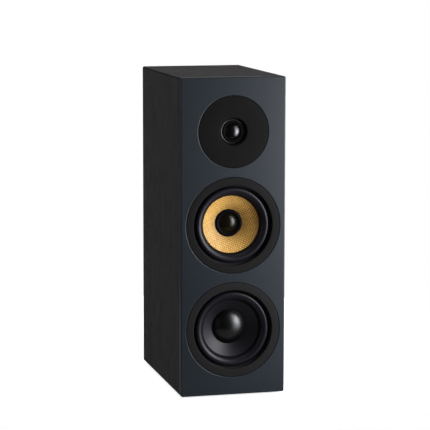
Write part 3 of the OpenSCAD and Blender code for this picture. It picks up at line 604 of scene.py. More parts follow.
# Sides that leave a corner more than this many radians apart run straight on, and it stays as it is.
STRAIGHT = 3.0
# Edges that turn by more than this many degrees stay sharp, on hard pieces and on soft ones.
HARD_EDGE, SOFT_EDGE = 38.0, 60.0
# Segments round a driver's rims, its other parts, its small parts, a knob, a post, a foot and a screw.
RIM_STEPS, PART_STEPS, SMALL_STEPS = 192, 160, 128
KNOB_STEPS, POST_STEPS, FOOT_STEPS, SCREW_STEPS = 96, 64, 48, 40


class Facing(Enum):
    """Which way a local frame's height points."""

    FRONT = "front"
    REAR = "rear"
    UP = "up"


@dataclass(frozen=True)
class Place:
    """A local frame: u along X, v up or back, and h outwards from the origin."""

    facing: Facing
    origin: tuple[float, float, float]

    def at(self, u: float, v: float, h: float) -> Vector:
        """Turns local coordinates into a point of the shared frame.

        Args:
            u: Distance along X.
            v: Distance along Z, or along Y where the frame faces up.
            h: Distance outwards.

        Returns:
            The point.
        """
        step = {
            Facing.FRONT: Vector((u, -h, v)),
            Facing.REAR: Vector((u, h, v)),
            Facing.UP: Vector((u, v, h)),
        }[self.facing]
        return Vector(self.origin) + step


def show(name: str, data: bpy.types.ID) -> bpy.types.Object:
    """Puts a new object in the scene.

    Args:
        name: Its name.
        data: Its mesh, light or camera.

    Returns:
        The object, at the origin and unturned.
    """
    obj = bpy.data.objects.new(name, data)
    bpy.context.scene.collection.objects.link(obj)
    return obj


def quarters(reach: Point2) -> list[Point2]:
    """The same point in each quarter of a plane.

    Args:
        reach: Its distances from the middle.

    Returns:
        The four points.
    """
    return [(x * reach[0], y * reach[1]) for x in (-1, 1) for y in (-1, 1)]


def arc(centre: Point2, radius: float, start: float, end: float, steps: int) -> list[Point2]:
    """Points along an arc.

    Args:
        centre: Its centre.
        radius: Its radius.
        start: Start angle in degrees.
        end: End angle in degrees.
        steps: Number of segments.

    Returns:
        steps + 1 points.
    """
    angles = [math.radians(start + (end - start) * i / steps) for i in range(steps + 1)]
    return [(centre[0] + radius * math.cos(a), centre[1] + radius * math.sin(a)) for a in angles]


def soften(points: Sequence[Point2], radius: float, steps: int = 4, share: float = 0.45) -> list[Point2]:
    """Rounds the corners of a closed outline.

    Args:
        points: The outline's corners.
        radius: The radius.
        steps: Segments at each corner.
        share: The most of a neighbouring side that a corner takes.

    Returns:
        The rounded outline.
    """
    out: list[Point2] = []
    for i, here in enumerate(points):
        corner = Vector(here)
        back, ahead = Vector(points[i - 1]) - corner, Vector(points[(i + 1) % len(points)]) - corner
        if min(back.length, ahead.length) < TINY or back.angle(ahead) > STRAIGHT:
            out.append(here)
            continue
        cut = min(radius, share * back.length, share * ahead.length)
        a, b = corner + back.normalized() * cut, corner + ahead.normalized() * cut
        for k in range(steps + 1):
            t = k / steps
            p = a * (1 - t) ** 2 + corner * 2 * t * (1 - t) + b * t**2
            out.append((p.x, p.y))
    return out


class Outline(Enum):
    """The shapes that a plate's edge or opening can take."""

    ROUND = "round"
    RECT = "rect"
    CROSS = "cross"


@dataclass(frozen=True)
class Edge:
    """An outline on a plate, and how the surface runs down from it.

    The profile's points are (growth of the outline, height above the plate's face).
    """

    shape: Outline
    size: Point2
    profile: tuple[Point2, ...]
    centre: Point2 = (0.0, 0.0)
    corner: float = 0.0
    floor: bool = False
    segments: int = PART_STEPS

    def points(self, grow: float) -> list[Point2]:
        """The outline's points when it is offset outwards.

        Args:
            grow: The offset.

        Returns:
            The points, always as many.
        """
        x, y = self.centre
        if self.shape is Outline.ROUND:
            return arc(self.centre, self.size[0] / 2 + grow, 0, 360, self.segments)[:-1]
        w, h = self.size[0] / 2, self.size[1] / 2
        if self.shape is Outline.CROSS:
            w, h = w + grow, h + grow
            arms = [(w, -h), (w, h), (h, h), (h, w), (-h, w), (-h, h)]
            arms += [(-w, h), (-w, -h), (-h, -h), (-h, -w), (h, -w), (h, -h)]
            return [(x + a, y + b) for a, b in arms]
        out: list[Point2] = []
        for k, (sx, sy) in enumerate(((1, 1), (-1, 1), (-1, -1), (1, -1))):
            centre = (x + sx * (w - self.corner), y + sy * (h - self.corner))
            radius = max(self.corner + grow, 0.01 * MM)
            out += arc(centre, radius, 90 * k, 90 * k + 90, self.segments // 16)
        return out


Loop = Sequence[bmesh.types.BMVert]


class Shell:
    """Collects one closed piece's vertices and faces in a local frame."""

    def __init__(self, place: Place) -> None:
        """Starts an empty piece.

        Args:
            place: The local frame.
        """
        self.place = place
        self.mesh = bmesh.new()

    def ring(self, points: Iterable[Point2], h: float) -> Loop:
        """Adds a loop of vertices at one height.

        Args:
            points: The loop's points.
            h: The height.

        Returns:
            The vertices.
        """
        return [self.mesh.verts.new(self.place.at(u, v, h)) for u, v in points]

    def bridge(self, *loops: Loop) -> None:
        """Joins each loop to the next, of as many vertices, with quads.

        Args:
            loops: The loops, in order.
        """
        for a, b in zip(loops, loops[1:]):
            for i in range(len(a)):
                j = (i + 1) % len(a)
                self.mesh.faces.new((a[i], a[j], b[j], b[i]))

    def tube(self, *loops: Loop) -> "Shell":
        """Joins loops as bridge does and closes both ends.

        Args:
            loops: The loops, in order.

        Returns:
            This piece.
        """
        self.bridge(*loops)
        self.fill(loops[0])
        self.fill(loops[-1])
        return self

    def fill(self, outer: Loop, holes: Sequence[Loop] = ()) -> None:
        """Closes a flat region.

        Args:
            outer: The loop round it.
            holes: The loops left open in it.
        """
        if not holes:
            self.mesh.faces.new(outer)
            return
        edges = []
        for loop in (outer, *holes):
            for i, vert in enumerate(loop):
                other = loop[(i + 1) % len(loop)]
                edges.append(self.mesh.edges.get((vert, other)) or self.mesh.edges.new((vert, other)))
        bmesh.ops.triangle_fill(self.mesh, edges=edges, use_beauty=True)

    def spin(self, profile: Sequence[Point2], segments: int, closed: bool = True) -> "Shell":
        """Turns a profile of (radius, height) about the local axis.

        Args:
            profile: The profile.
            segments: Steps round the axis.
            closed: Whether the last point joins the first.

        Returns:
            This piece.
        """
        loops: list[Loop] = []
        for radius, h in profile:
            if radius < TINY:
                loops.append(self.ring([(0.0, 0.0)], h))
            else:
                loops.append(self.ring(arc((0.0, 0.0), radius, 0, 360, segments)[:-1], h))
        pairs = list(zip(loops, loops[1:])) + ([(loops[-1], loops[0])] if closed else [])
        for a, b in pairs:
            if len(a) > 1 and len(b) > 1:
                self.bridge(a, b)
            elif len(a) != len(b):
                tip, rim = (a[0], b) if len(a) == 1 else (b[0], a)
                for i, vert in enumerate(rim):
                    self.mesh.faces.new((tip, vert, rim[(i + 1) % len(rim)]))
        return self

    def plate(self, outer: Edge, openings: Sequence[Edge] = ()) -> "Shell":
        """Builds a plate with rounded edges and openings, its face at height 0.

        Args:
            outer: Its outer edge, which runs down to its back.
            openings: Its openings, which go right through unless they have a floor.

        Returns:
            This piece.
        """
        front, back = [], []
        for edge in (outer, *openings):
            loops = [self.ring(edge.points(grow), h) for grow, h in edge.profile]
            self.bridge(*loops)
            front.append(loops[0])
            if edge.floor:
                self.fill(loops[-1])
            else:
                back.append(loops[-1])
        self.fill(front[0], front[1:])
        self.fill(back[0], back[1:])
        return self

    def make(self, name: str, finish: Finish, sharp: float = HARD_EDGE) -> bpy.types.Object:
        """Turns the piece into an object.

        Args:
            name: The object's name.
            finish: Its finish.
            sharp: Edges that turn by more than this many degrees stay sharp.

        Returns:
            The object, at the origin and unturned.
        """
        bmesh.ops.remove_doubles(self.mesh, verts=self.mesh.verts, dist=TINY)
        bmesh.ops.recalc_face_normals(self.mesh, faces=self.mesh.faces)
        data = bpy.data.meshes.new(name)
        self.mesh.to_mesh(data)
        self.mesh.free()
        data.shade_smooth()
        data.set_sharp_from_angle(angle=math.radians(sharp))
        data.materials.append(finish.material())
        return show(name, data)


def paint_band(obj: bpy.types.Object, finish: Finish, inside: Callable[[Vector], bool]) -> None:
    """Gives part of an object a second finish.

    Args:
        obj: The object.
        finish: The second finish.
        inside: Says whether a face's centre belongs to the band.
    """
    obj.data.materials.append(finish.material())
    for face in obj.data.polygons:
        if inside(face.center):
            face.material_index = 1


def settle(obj: bpy.types.Object, body: str, node: str) -> None:
    """Hands a finished piece to its CAD body in place of its CAD node.

    Args:
        obj: The piece.
        body: The body that it rides on.
        node: The CAD node that it stands for.
    """
    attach(obj, body)
    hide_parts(node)
    log.info("%s rides on %s", obj.name, body)


def settle_soft(obj: bpy.types.Object, body: str, node: str) -> None:
    """Fixes in place of its CAD node a piece that really bends between the cabinet and a moving body.

    Args:
        obj: The piece.
        body: The moving body.
        node: The CAD node that it stands for.
    """
    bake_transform(obj)
    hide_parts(node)
    log.info("%s bends between %s and %s", obj.name, CABINET, body)


class Copies:
    """Geometry Nodes that copy one mesh to each point of another, turned about Y in even steps."""

    def __init__(self) -> None:
        """Builds the node group."""
        self.group = bpy.data.node_groups.new("copies_on_points", "GeometryNodeTree")
        face = self.group.interface
        for name, kind in (
            ("Points", "NodeSocketGeometry"),
            ("Piece", "NodeSocketObject"),
            ("Turn", "NodeSocketFloat"),
            ("Finish", "NodeSocketMaterial"),
        ):
            face.new_socket(name, in_out="INPUT", socket_type=kind)
        face.new_socket("Copies", in_out="OUTPUT", socket_type="NodeSocketGeometry")
        source = self.add("NodeGroupInput")
        info = self.add("GeometryNodeObjectInfo", {0: source.outputs["Piece"]})
        index = self.add("GeometryNodeInputIndex").outputs[0]
        angle = self.add("ShaderNodeMath", {0: index, 1: source.outputs["Turn"]}, operation="MULTIPLY")
        turn = self.add("ShaderNodeCombineXYZ", {1: angle.outputs[0]})
        spots, piece = source.outputs["Points"], info.outputs["Geometry"]
        placed = self.add(
            "GeometryNodeInstanceOnPoints", {"Points": spots, "Instance": piece, "Rotation": turn.outputs[0]}
        )
        real = self.add("GeometryNodeRealizeInstances", {0: placed.outputs[0]})
        painted = self.add(
            "GeometryNodeSetMaterial", {"Geometry": real.outputs[0], "Material": source.outputs["Finish"]}
        )
        self.add("NodeGroupOutput", {0: painted.outputs[0]})

    def add(
        self,
        kind: str,
        inputs: Optional[dict[Union[str, int], bpy.types.NodeSocket]] = None,
        **settings: object,
    ) -> bpy.types.Node:
        """Adds a node to the group.

        Args:
            kind: Its type name.
            inputs: Sockets to link to its inputs.
            settings: Attributes to set on it.

        Returns:
            The node.
        """
        made = self.group.nodes.new(kind)
        for key, value in settings.items():
            setattr(made, key, value)
        for key, socket in (inputs or {}).items():
            self.group.links.new(socket, made.inputs[key])
        return made

    def run(
        self, name: str, piece: bpy.types.Object, points: Sequence[Vector], finish: Finish, turn: float = 0.0
    ) -> bpy.types.Object:
        """Copies a mesh to points.

        Args:
            name: The result's name.
            piece: The mesh to copy, drawn about the origin. It is used up.
            points: Where the copies go.
            finish: Their finish.
            turn: Turn about Y from one copy to the next, in radians.

        Returns:
            One plain mesh object.
        """
        cloud = bpy.data.meshes.new(name + "_points")
        cloud.from_pydata([tuple(p) for p in points], [], [])
        holder = show(name + "_holder", cloud)
        modifier = holder.modifiers.new("copies", "NODES")
        modifier.node_group = self.group
        values = {"Piece": piece, "Turn": turn, "Finish": finish.material()}
        for item in self.group.interface.items_tree:
            if item.in_out == "INPUT" and item.name in values:
                modifier[item.identifier] = values[item.name]
        bpy.context.view_layer.update()
        graph = bpy.context.evaluated_depsgraph_get()
        data = bpy.data.meshes.new_from_object(holder.evaluated_get(graph))
        data.name = name
        holder.modifiers.remove(modifier)
        for used in (holder, piece):
            bpy.data.objects.remove(used)
        return show(name, data)


# -------------------------------------------------------------------- cabinet

# Chamfer along the joint between two panels.
SEAM = 0.35 * MM
# Flat strip between a rounded edge and the rest of a face, which keeps the face's shading flat.
STRIP = 0.4 * MM
# Clearance between faces that would otherwise coincide.
GAP = 0.02 * MM


def round_over(radius: float, depth: float, steps: int = 6) -> tuple[Point2, ...]:
    """The profile of a plate's outer edge: rounded at the face, with a fine chamfer at the back.

    Args:
        radius: The radius at the face.
        depth: The plate's thickness.
        steps: Segments of the rounding.

    Returns:
        Points of (growth, height).
    """
    bend = arc((-radius, -radius), radius, 90, 0, steps)
    return ((-radius - STRIP, 0.0), *bend, (0.0, -depth + SEAM), (-SEAM, -depth))


def rolled_lip(radius: float, depth: float, steps: int = 5) -> tuple[Point2, ...]:
    """The profile of an opening whose rim is rounded over.

    Args:
        radius: The rim's radius.
        depth: How deep the opening is.
        steps: Segments of the rounding.

    Returns:
        Points of (growth, height).
    """
    bend = arc((radius, -radius), radius, 90, 180, steps)
    return ((radius + STRIP, 0.0), *bend, (0.0, -depth))


class Side(Enum):
    """The four wrapped panels, by the turn of their outer face from +X towards +Z."""

    RIGHT = 0
    TOP = 1
    LEFT = 2
    BOTTOM = 3


@dataclass
class Cabinet:
    """The wrapped case, the lacquered front panel, the rear panel and the feet.

    The foot's radii are at the floor and at the case. Each mouth is the height of a driver's opening
    above the floor, and its radius.
    """

    width: float = 165 * MM
    height: float = 492 * MM
    wall: float = BOARD_THICK
    front: float = 12 * MM
    corner: float = 3 * MM
    foot: float = 3 * MM
    foot_radii: Point2 = (8 * MM, 9 * MM)
    foot_round: float = 0.6 * MM
    foot_reach: Point2 = (62.5 * MM, 109 * MM)
    front_round: float = 1.6 * MM
    rear_round: float = 1.2 * MM
    lip: float = 1.0 * MM
    mouths: tuple[Point2, ...] = ((TWEETER_Z, 55.3 * MM), (MID_Z, 74.3 * MM), (WOOFER_Z, 74.3 * MM))

    @property
    def middle(self) -> float:
        """Height of the cabinet's middle above the floor."""
        return self.foot + self.height / 2

    def section(self, side: Side, inset: float) -> list[Point2]:
        """One panel's cross-section between its two mitres.

        Args:
            side: The panel.
            inset: How far its outer face is drawn in.

        Returns:
            Points of (x, z) about the cabinet's middle.
        """
        sizes = (self.width / 2, self.height / 2)
        out, along = sizes if side in (Side.RIGHT, Side.LEFT) else sizes[::-1]
        r, steps = self.corner, 6
        local = [(out - self.wall, -along + self.wall)]
        local += arc((out - r, -along + r), r - inset, -45, 0, steps)
        local += arc((out - r, along - r), r - inset, 0, 45, steps)
        local += [(out - self.wall, along - self.wall)]
        angle = side.value * math.pi / 2
        c, s = round(math.cos(angle)), round(math.sin(angle))
        return [(n * c - t * s, n * s + t * c) for n, t in local]

    def build_panel(self, side: Side) -> None:
        """Builds one wrapped panel.

        Args:
            side: The panel.
        """
        name = side.name.lower() + "_panel"
        shell = Shell(Place(Facing.REAR, (0.0, 0.0, self.middle)))
        start, bend, r = FRONT_Y + self.front, REAR_Y - self.rear_round, self.rear_round
        stations = [(start, SEAM), (start + SEAM, 0.0), (bend, 0.0)]
        stations += [(bend + r * math.sin(a), r * (1 - math.cos(a))) for a in (0.4, 0.8, 1.2, math.pi / 2)]
        shell.tube(*(shell.ring(self.section(side, inset), y) for y, inset in stations))
        # The top gets the lighter ash, which is painted light from above.
        finish, slot = (LIT_ASH_TOP, "top_wrap") if side is Side.TOP else (ASH_SIDE, "case_wrap")
        panel = shell.make("wrapped_" + name, finish)

        def on_fold(point: Vector) -> bool:
            """Says whether a point lies where the wrap is folded round an edge.

            Args:
                point: The point.

            Returns:
                Whether it does.
            """
            if point.y > bend:
                return True
            rise = abs(point.z - self.middle)
            return side in (Side.LEFT, Side.RIGHT) and rise > self.height / 2 - self.corner

        paint_band(panel, FOLD, on_fold)
        settle(panel, CABINET, name)

    def build_front(self) -> None:
        """Builds the front panel with its three openings."""
        rim = round_over(self.front_round, self.front)
        outer = Edge(Outline.RECT, (self.width, self.height), rim, corner=self.corner)
        lip = rolled_lip(self.lip, self.front)
        openings = [
            Edge(Outline.ROUND, (2 * radius, 2 * radius), lip, centre=(0.0, z - self.middle))
            for z, radius in self.mouths
        ]
        shell = Shell(Place(Facing.FRONT, (0.0, FRONT_Y, self.middle))).plate(outer, openings)
        settle(shell.make("lacquered_front_panel", LACQUER), CABINET, "front_panel")

    def build_rear(self, openings: Sequence[Edge]) -> None:
        """Builds the rear panel.

        Args:
            openings: Its openings, about the cabinet's middle.
        """
        size = (self.width - 2 * self.wall, self.height - 2 * self.wall)
        rim = ((-SEAM, 0.0), (0.0, -SEAM), (0.0, -self.wall))
        outer = Edge(Outline.RECT, size, rim, corner=0.05 * MM)
        shell = Shell(Place(Facing.REAR, (0.0, REAR_Y, self.middle))).plate(outer, openings)
        settle(shell.make("wrapped_rear_panel", ASH_SIDE), CABINET, "rear_panel")

    def build_feet(self, copies: Copies) -> None:
        """Builds the four rubber feet.

        Args:
            copies: The node group that repeats them.
        """
        (low, high), h = self.foot_radii, self.foot
        edge = soften([(low, 0), (high, h), (high - 2 * MM, h)], self.foot_round)
        shell = Shell(Place(Facing.UP, (0.0, 0.0, 0.0)))
        foot = shell.spin([(0, 0), *edge, (0, h)], FOOT_STEPS, closed=False).make("foot", FOOT)
        points = [Vector((x, y, 0.0)) for x, y in quarters(self.foot_reach)]
        feet = copies.run("rubber_feet_set", foot, points, FOOT)
        settle(feet, CABINET, "rubber_feet")


# --------------------------------------------------------------------- drivers


def shell_cap(size: Point2, base: float, thick: float, steps: int = 20) -> list[Point2]:
    """The profile of a thin spherical cap.

    Args:
        size: Its radius and height.
        base: Height of its rim.
        thick: Its wall.
        steps: Segments from rim to top.

    Returns:
        The closed profile.
    """
    out: list[Point2] = []
    for cut, order in ((0.0, 1), (thick, -1)):
        r, h = size[0] - cut, size[1] - cut
        ball = (r * r + h * h) / (2 * h)
        rim = math.asin(min(1.0, r / ball))
        angles = [rim * (1 - k / steps) for k in range(steps + 1)]
        line = [(ball * math.sin(a), base + h - ball + ball * math.cos(a)) for a in angles]
        out += line[::order]
    return out


class CapStyle(Enum):
    """What closes the middle of a cone."""

    COLLAR_AND_DOME = "collar and dome"
    DUST_CAP = "dust cap"


@dataclass
class ConeDriver:
    """The midrange or the woofer: trim ring, surround, spider, cone and cap.

    Points are (radius, height over the front face), and caps (radius, rise). The bevels are the inner
    and the outer one. The rims are how far past the roll's inner foot the near-black inner edge ends, and
    how far past its outer foot the outer edge's painted shade starts.
    """

    name: str
    z: float
    cap: CapStyle
    ring_finish: Finish
    cone_finish: Finish
    cone_slot: str
    ring_out: float = 74 * MM
    ring_in: float = 62 * MM
    ring_depth: float = 8 * MM
    ring_bevels: Point2 = (0.8 * MM, 0.6 * MM)
    cone_edge: Point2 = (44 * MM, -15 * MM)
    cone_neck: Point2 = (12.9 * MM, -36.5 * MM)
    cone_lap: float = 1.6 * MM
    cone_thick: float = 0.6 * MM
    roll_in: float = 45.8 * MM
    roll_width: float = 12.6 * MM
    roll_height: float = 6 * MM
    landing: Point2 = (60.7 * MM, -9.98 * MM)
    skin: float = 0.8 * MM
    lap: float = 0.35 * MM
    rims: Point2 = (1.4 * MM, 0.4 * MM)
    collar: float = 22 * MM
    plug: Point2 = (14.6 * MM, 5.2 * MM)
    plug_wall: float = 0.5 * MM
    plug_sink: float = 1.4 * MM
    dust_cap: Point2 = (26.7 * MM, 11 * MM)
    dust_cap_wall: float = 0.6 * MM
    spider_in: Point2 = (17 * MM, -37.2 * MM)
    spider_out: Point2 = (37.5 * MM, -39.03 * MM)
    spider_rim: float = 41.5 * MM
    spider_foot: float = 3.5 * MM
    spider_wave: float = 0.6 * MM
    spider_angle: float = 6 * math.pi + 0.62
    spider_rise: float = 0.348 * MM
    cloth: float = 0.2 * MM

    @property
    def place(self) -> Place:
        """The driver's own frame, with height 0 at the front face."""
        return Place(Facing.FRONT, (0.0, FRONT_Y, self.z))

    @property
    def body(self) -> str:
        """The CAD body that moves."""
        return self.name + "_diaphragm"

    def node(self, part: str) -> str:
        """Returns the name of one of this driver's CAD nodes.

        Args:
            part: The part's name.

        Returns:
            The node's name.
        """
        return f"{self.name}_{part}"

    def axis_point(self, height: float) -> Vector:
        """A point on the driver's axis.

        Args:
            height: Its height over the front face.

        Returns:
            The point, in the shared frame.
        """
        return self.place.at(0, 0, height)

    def cone_height(self, radius: float) -> float:
        """Height of the cone's front surface.

        Args:
            radius: The radius.

        Returns:
            The height, negative behind the front face.
        """
        (r1, h1), (r0, h0) = self.cone_edge, self.cone_neck
        return h0 + (h1 - h0) * (radius - r0) / (r1 - r0)

    def build_ring(self) -> None:
        """Builds the trim ring."""
        o, i, d = self.ring_out, self.ring_in, -self.ring_depth + GAP
        inner, outer = self.ring_bevels
        face = [(i, d), (o, d), (o, -outer), (o - outer, 0), (i + inner, 0), (i, -inner)]
        shell = Shell(self.place).spin(soften(face, 0.5 * MM), RIM_STEPS)
        ring = shell.make(self.node("trim_ring_moulding"), self.ring_finish)
        settle(ring, CABINET, self.node("trim_ring"))

    def roll_point(self, angle: float, offset: float) -> Point2:
        """A point on the surround's half roll.

        Args:
            angle: 180 at its inner foot and 0 at its outer foot.
            offset: Distance outside the roll's middle line.

        Returns:
            The point, as (radius, height).
        """
        a = math.radians(angle)
        foot_in = self.cone_height(self.roll_in) + self.skin / 2
        foot_out = self.landing[1] + self.skin / 2
        share = (1 + math.cos(a)) / 2
        middle = self.roll_in + self.roll_width / 2
        return (
            middle + (self.roll_width / 2 + offset) * math.cos(a),
            foot_in + (foot_out - foot_in) * share + (self.roll_height + offset) * math.sin(a),
        )

    def build_surround(self) -> None:
        """Builds the surround, which bends between the frame and the cone."""
        lap, half, steps = self.cone_edge[0] + self.lap, self.skin / 2, 28
        h = self.cone_height(lap) + GAP
        r, low = self.landing
        profile = [(lap, h), (lap + 0.1 * MM, h + 0.6 * self.skin), (lap + 0.5 * MM, h + self.skin)]
        profile += [self.roll_point(180 - 180 * k / steps, half) for k in range(steps + 1)]
        profile += [(r, low + self.skin), (r, low)]
        profile += [self.roll_point(180 * k / steps, -half) for k in range(steps + 1)]
        shell = Shell(self.place).spin(profile, RIM_STEPS)
        obj = shell.make(self.node("surround_roll"), RUBBER, sharp=SOFT_EDGE)
        start, end = self.roll_in + self.rims[0], self.roll_in + self.roll_width + self.rims[1]
        # Near-black inner and outer edges; the outer one, on the landing in the groove, is painted shade.
        paint_band(obj, RIM, lambda p: not start < math.hypot(p.x, p.z - self.z) < end)
        span = (self.axis_point(low - 0.2 * MM), self.axis_point(self.cone_height(lap + 0.5 * MM)))
        settle_soft(obj, self.body, self.node("surround"))

    def build_spider(self) -> None:
        """Builds the spider, a cupped cloth disc that bends between the basket and the voice coil."""
        (r_in, top), (r_out, low), foot = self.spider_in, self.spider_out, self.spider_foot
        middle, slope, waves = low - self.spider_rise, 10, 48
        over = [(self.cone_neck[0] + GAP, top), (r_in, top)]
        for k in range(1, slope + 1):
            drop = (1 - math.cos(math.pi * k / slope)) / 2
            over.append((r_in + foot * k / slope, top + (middle - top) * drop))
        for k in range(1, waves + 1):
            swing = self.spider_wave * math.sin(self.spider_angle * k / waves)
            over.append((r_in + foot + (r_out - r_in - foot) * k / waves, middle + swing))
        over.append((self.spider_rim, low))
        under = [(r, h - self.cloth) for r, h in reversed(over)]
        shell = Shell(self.place).spin(over + under, SMALL_STEPS)
        obj = shell.make(self.node("spider_cloth"), SPIDER, sharp=SOFT_EDGE)
        span = (self.axis_point(low + 0.3 * MM), self.axis_point(top - self.cloth))
        settle_soft(obj, self.body, self.node("spider"))

    def build_cone(self) -> None:
        """Builds the cone."""
        neck, rim, steps = self.cone_neck[0], self.cone_edge[0] + self.cone_lap, 24
        radii = [neck + (rim - neck) * k / steps for k in range(steps + 1)]
        front = [(r, self.cone_height(r)) for r in radii]
        back = [(r, self.cone_height(r) - self.cone_thick) for r in reversed(radii)]
        shell = Shell(self.place).spin(front + back, RIM_STEPS)
        cone = shell.make(self.node("cone_skin"), self.cone_finish)
        settle(cone, self.body, self.node("cone"))

    def build_cap(self) -> None:
        """Builds what closes the middle of the cone."""
        if self.cap is CapStyle.DUST_CAP:
            base = self.cone_height(self.dust_cap[0]) + GAP
            cap = shell_cap(self.dust_cap, base, self.dust_cap_wall)
            shell = Shell(self.place).spin(cap, PART_STEPS, closed=False)
            settle(shell.make(self.node("cap_dome"), CAP), self.body, self.node("dust_cap"))
            return
        seat, inner = self.cone_height(self.collar), self.plug[0] + GAP
        ridge = (self.collar + self.plug[0]) / 2
        profile = [
            (self.collar, seat + GAP), (ridge + 0.6 * MM, seat + 1.2 * MM), (ridge, seat + 1.5 * MM),
            (ridge - 0.6 * MM, seat + 1.2 * MM), (inner + 0.6 * MM, seat - 0.5 * MM),
            (inner, seat - 0.5 * MM), (inner, seat - 1.6 * MM), (inner + 3 * MM, seat - 1.6 * MM),
        ]
        shell = Shell(self.place).spin(soften(profile, 0.8 * MM), PART_STEPS)
        collar = shell.make(self.node("collar_ridge"), COLLAR)
        settle(collar, self.body, self.node("cap_collar"))
        cap = shell_cap(self.plug, seat - self.plug_sink, self.plug_wall)
        shell = Shell(self.place).spin(cap, SMALL_STEPS, closed=False)
        settle(shell.make(self.node("gloss_dome"), CENTRE_WITH_PAINTED_REFLECTION), self.body, self.node("cap_dome"))

    def build(self) -> None:
        """Builds the whole driver."""
        self.build_ring()
        self.build_surround()
        self.build_spider()
        self.build_cone()
        self.build_cap()


@dataclass
class Tweeter:
    """The dome tweeter: cover plate, frame with its throat, surround and dome.

    The bevels are the inner and the outer one, the flange is its radius and the height of its
    underside, the housing its two radii, and the dome its radius and rise.
    """

    z: float = TWEETER_Z
    cover: float = 55 * MM
    cover_thick: float = 2.5 * MM
    cover_bevels: Point2 = (1.1 * MM, 0.5 * MM)
    throat: float = 22 * MM
    flange: Point2 = (54.5 * MM, -6 * MM)
    housing: Point2 = (15.5 * MM, 34.5 * MM)
    dome: Point2 = (12.5 * MM, 4.4 * MM)
    dome_base: float = -7 * MM
    dome_wall: float = 0.3 * MM
    roll_out: float = 17 * MM
    roll_height: float = 1.25 * MM
    roll_climb: float = 0.6 * MM

    @property
    def place(self) -> Place:
        """The tweeter's own frame, with height 0 at the front face."""
        return Place(Facing.FRONT, (0.0, FRONT_Y, self.z))

    def build_cover(self) -> None:
        """Builds the cover plate."""
        c, t, d = self.cover, self.throat, self.cover_thick
        inner, outer = self.cover_bevels
        face = [(t - 1.5 * MM, -d), (c, -d), (c, -outer), (c - outer, 0), (t, 0), (t - inner, -1 * MM)]
        shell = Shell(self.place).spin(soften(face, 0.7 * MM), RIM_STEPS)
        settle(shell.make("tweeter_cover_plate", PLATE), CABINET, "tweeter_cover")

    def build_frame(self) -> None:
        """Builds the frame's throat, clamp and flange, with a bright bead at the clamp."""
        top, base = -self.cover_thick - GAP, self.dome_base
        (edge, under), (bore, wall) = self.flange, self.housing
        inner, lip, rim = self.roll_out + 1.5 * MM, self.roll_out + 0.15 * MM, base - 0.3 * MM
        profile = [
            (self.throat - 1.5 * MM, top), (edge, top), (edge, under), (wall, under),
            (wall, base - 2.5 * MM), (bore, base - 2.5 * MM), (bore, base - 1.2 * MM),
            (inner, base - 1.2 * MM), (inner, rim + GAP), (lip, rim + GAP),
            (lip, rim + 0.3 * MM), (lip + 0.3 * MM, rim + 0.6 * MM), (lip + 0.8 * MM, rim + 0.6 * MM),
            (lip + 1.1 * MM, rim + 0.3 * MM),
        ]
        shell = Shell(self.place).spin(soften(profile, 0.3 * MM), PART_STEPS)
        body = shell.make("tweeter_frame_throat", THROAT)
        centre = self.place.at(0, 0, 0)

        def on_bead(point: Vector) -> bool:
            """Says whether a point lies on the clamp's rim.

            Args:
                point: The point.

            Returns:
                Whether it does.
            """
            offset = point - centre
            radius = math.hypot(offset.x, offset.z)
            return lip - 0.1 * MM < radius < lip + 1.12 * MM and offset.y < -rim

        paint_band(body, BEAD, on_bead)
        settle(body, CABINET, "tweeter_frame")

    def roll_point(self, angle: float, inset: float, height: float) -> Point2:
        """A point of the roll's section, which climbs towards the dome.

        Args:
            angle: Degrees round the roll, 0 at the clamp and 180 at the dome.
            inset: How far the point lies inside the roll's half width.
            height: Height of the section's foot at the clamp.

        Returns:
            The point, as (radius, height).
        """
        middle, half = (self.dome[0] + self.roll_out) / 2, (self.roll_out - self.dome[0]) / 2
        a = math.radians(angle)
        climb = self.roll_climb * (1 - math.cos(a)) / 2
        return middle + (half - inset) * math.cos(a), height + climb + self.roll_height * math.sin(a)

    def build_surround(self) -> None:
        """Builds the surround, which bends between the frame and the dome."""
        foot, steps, rim = self.dome_base - 0.6 * MM, 20, self.roll_out + 1.4 * MM
        over, under = foot + 0.3 * MM, foot - 0.1 * MM
        profile = [self.roll_point(180 - 180 * k / steps, 0.0, over) for k in range(steps + 1)]
        profile += [(rim, over), (rim, foot - 0.5 * MM)]
        profile += [self.roll_point(180 * k / steps, 0.3 * MM, under) for k in range(steps + 1)]
        shell = Shell(self.place).spin(profile, SMALL_STEPS)
        roll = shell.make("tweeter_surround_roll", SILK_ROLL, sharp=SOFT_EDGE)
        span = (self.place.at(0, 0, over), self.place.at(0, 0, over + 0.8 * MM))
        settle_soft(roll, "tweeter_diaphragm", "tweeter_surround")

    def build_dome(self) -> None:
        """Builds the dome."""
        cap = shell_cap(self.dome, self.dome_base, self.dome_wall)
        shell = Shell(self.place).spin(cap, SMALL_STEPS, closed=False)
        settle(shell.make("tweeter_dome_cap", SILK), "tweeter_diaphragm", "tweeter_dome")

    def build(self) -> None:
        """Builds the whole tweeter."""
        self.build_cover()
        self.build_frame()
        self.build_surround()
        self.build_dome()


# ------------------------------------------------------------------------ rear


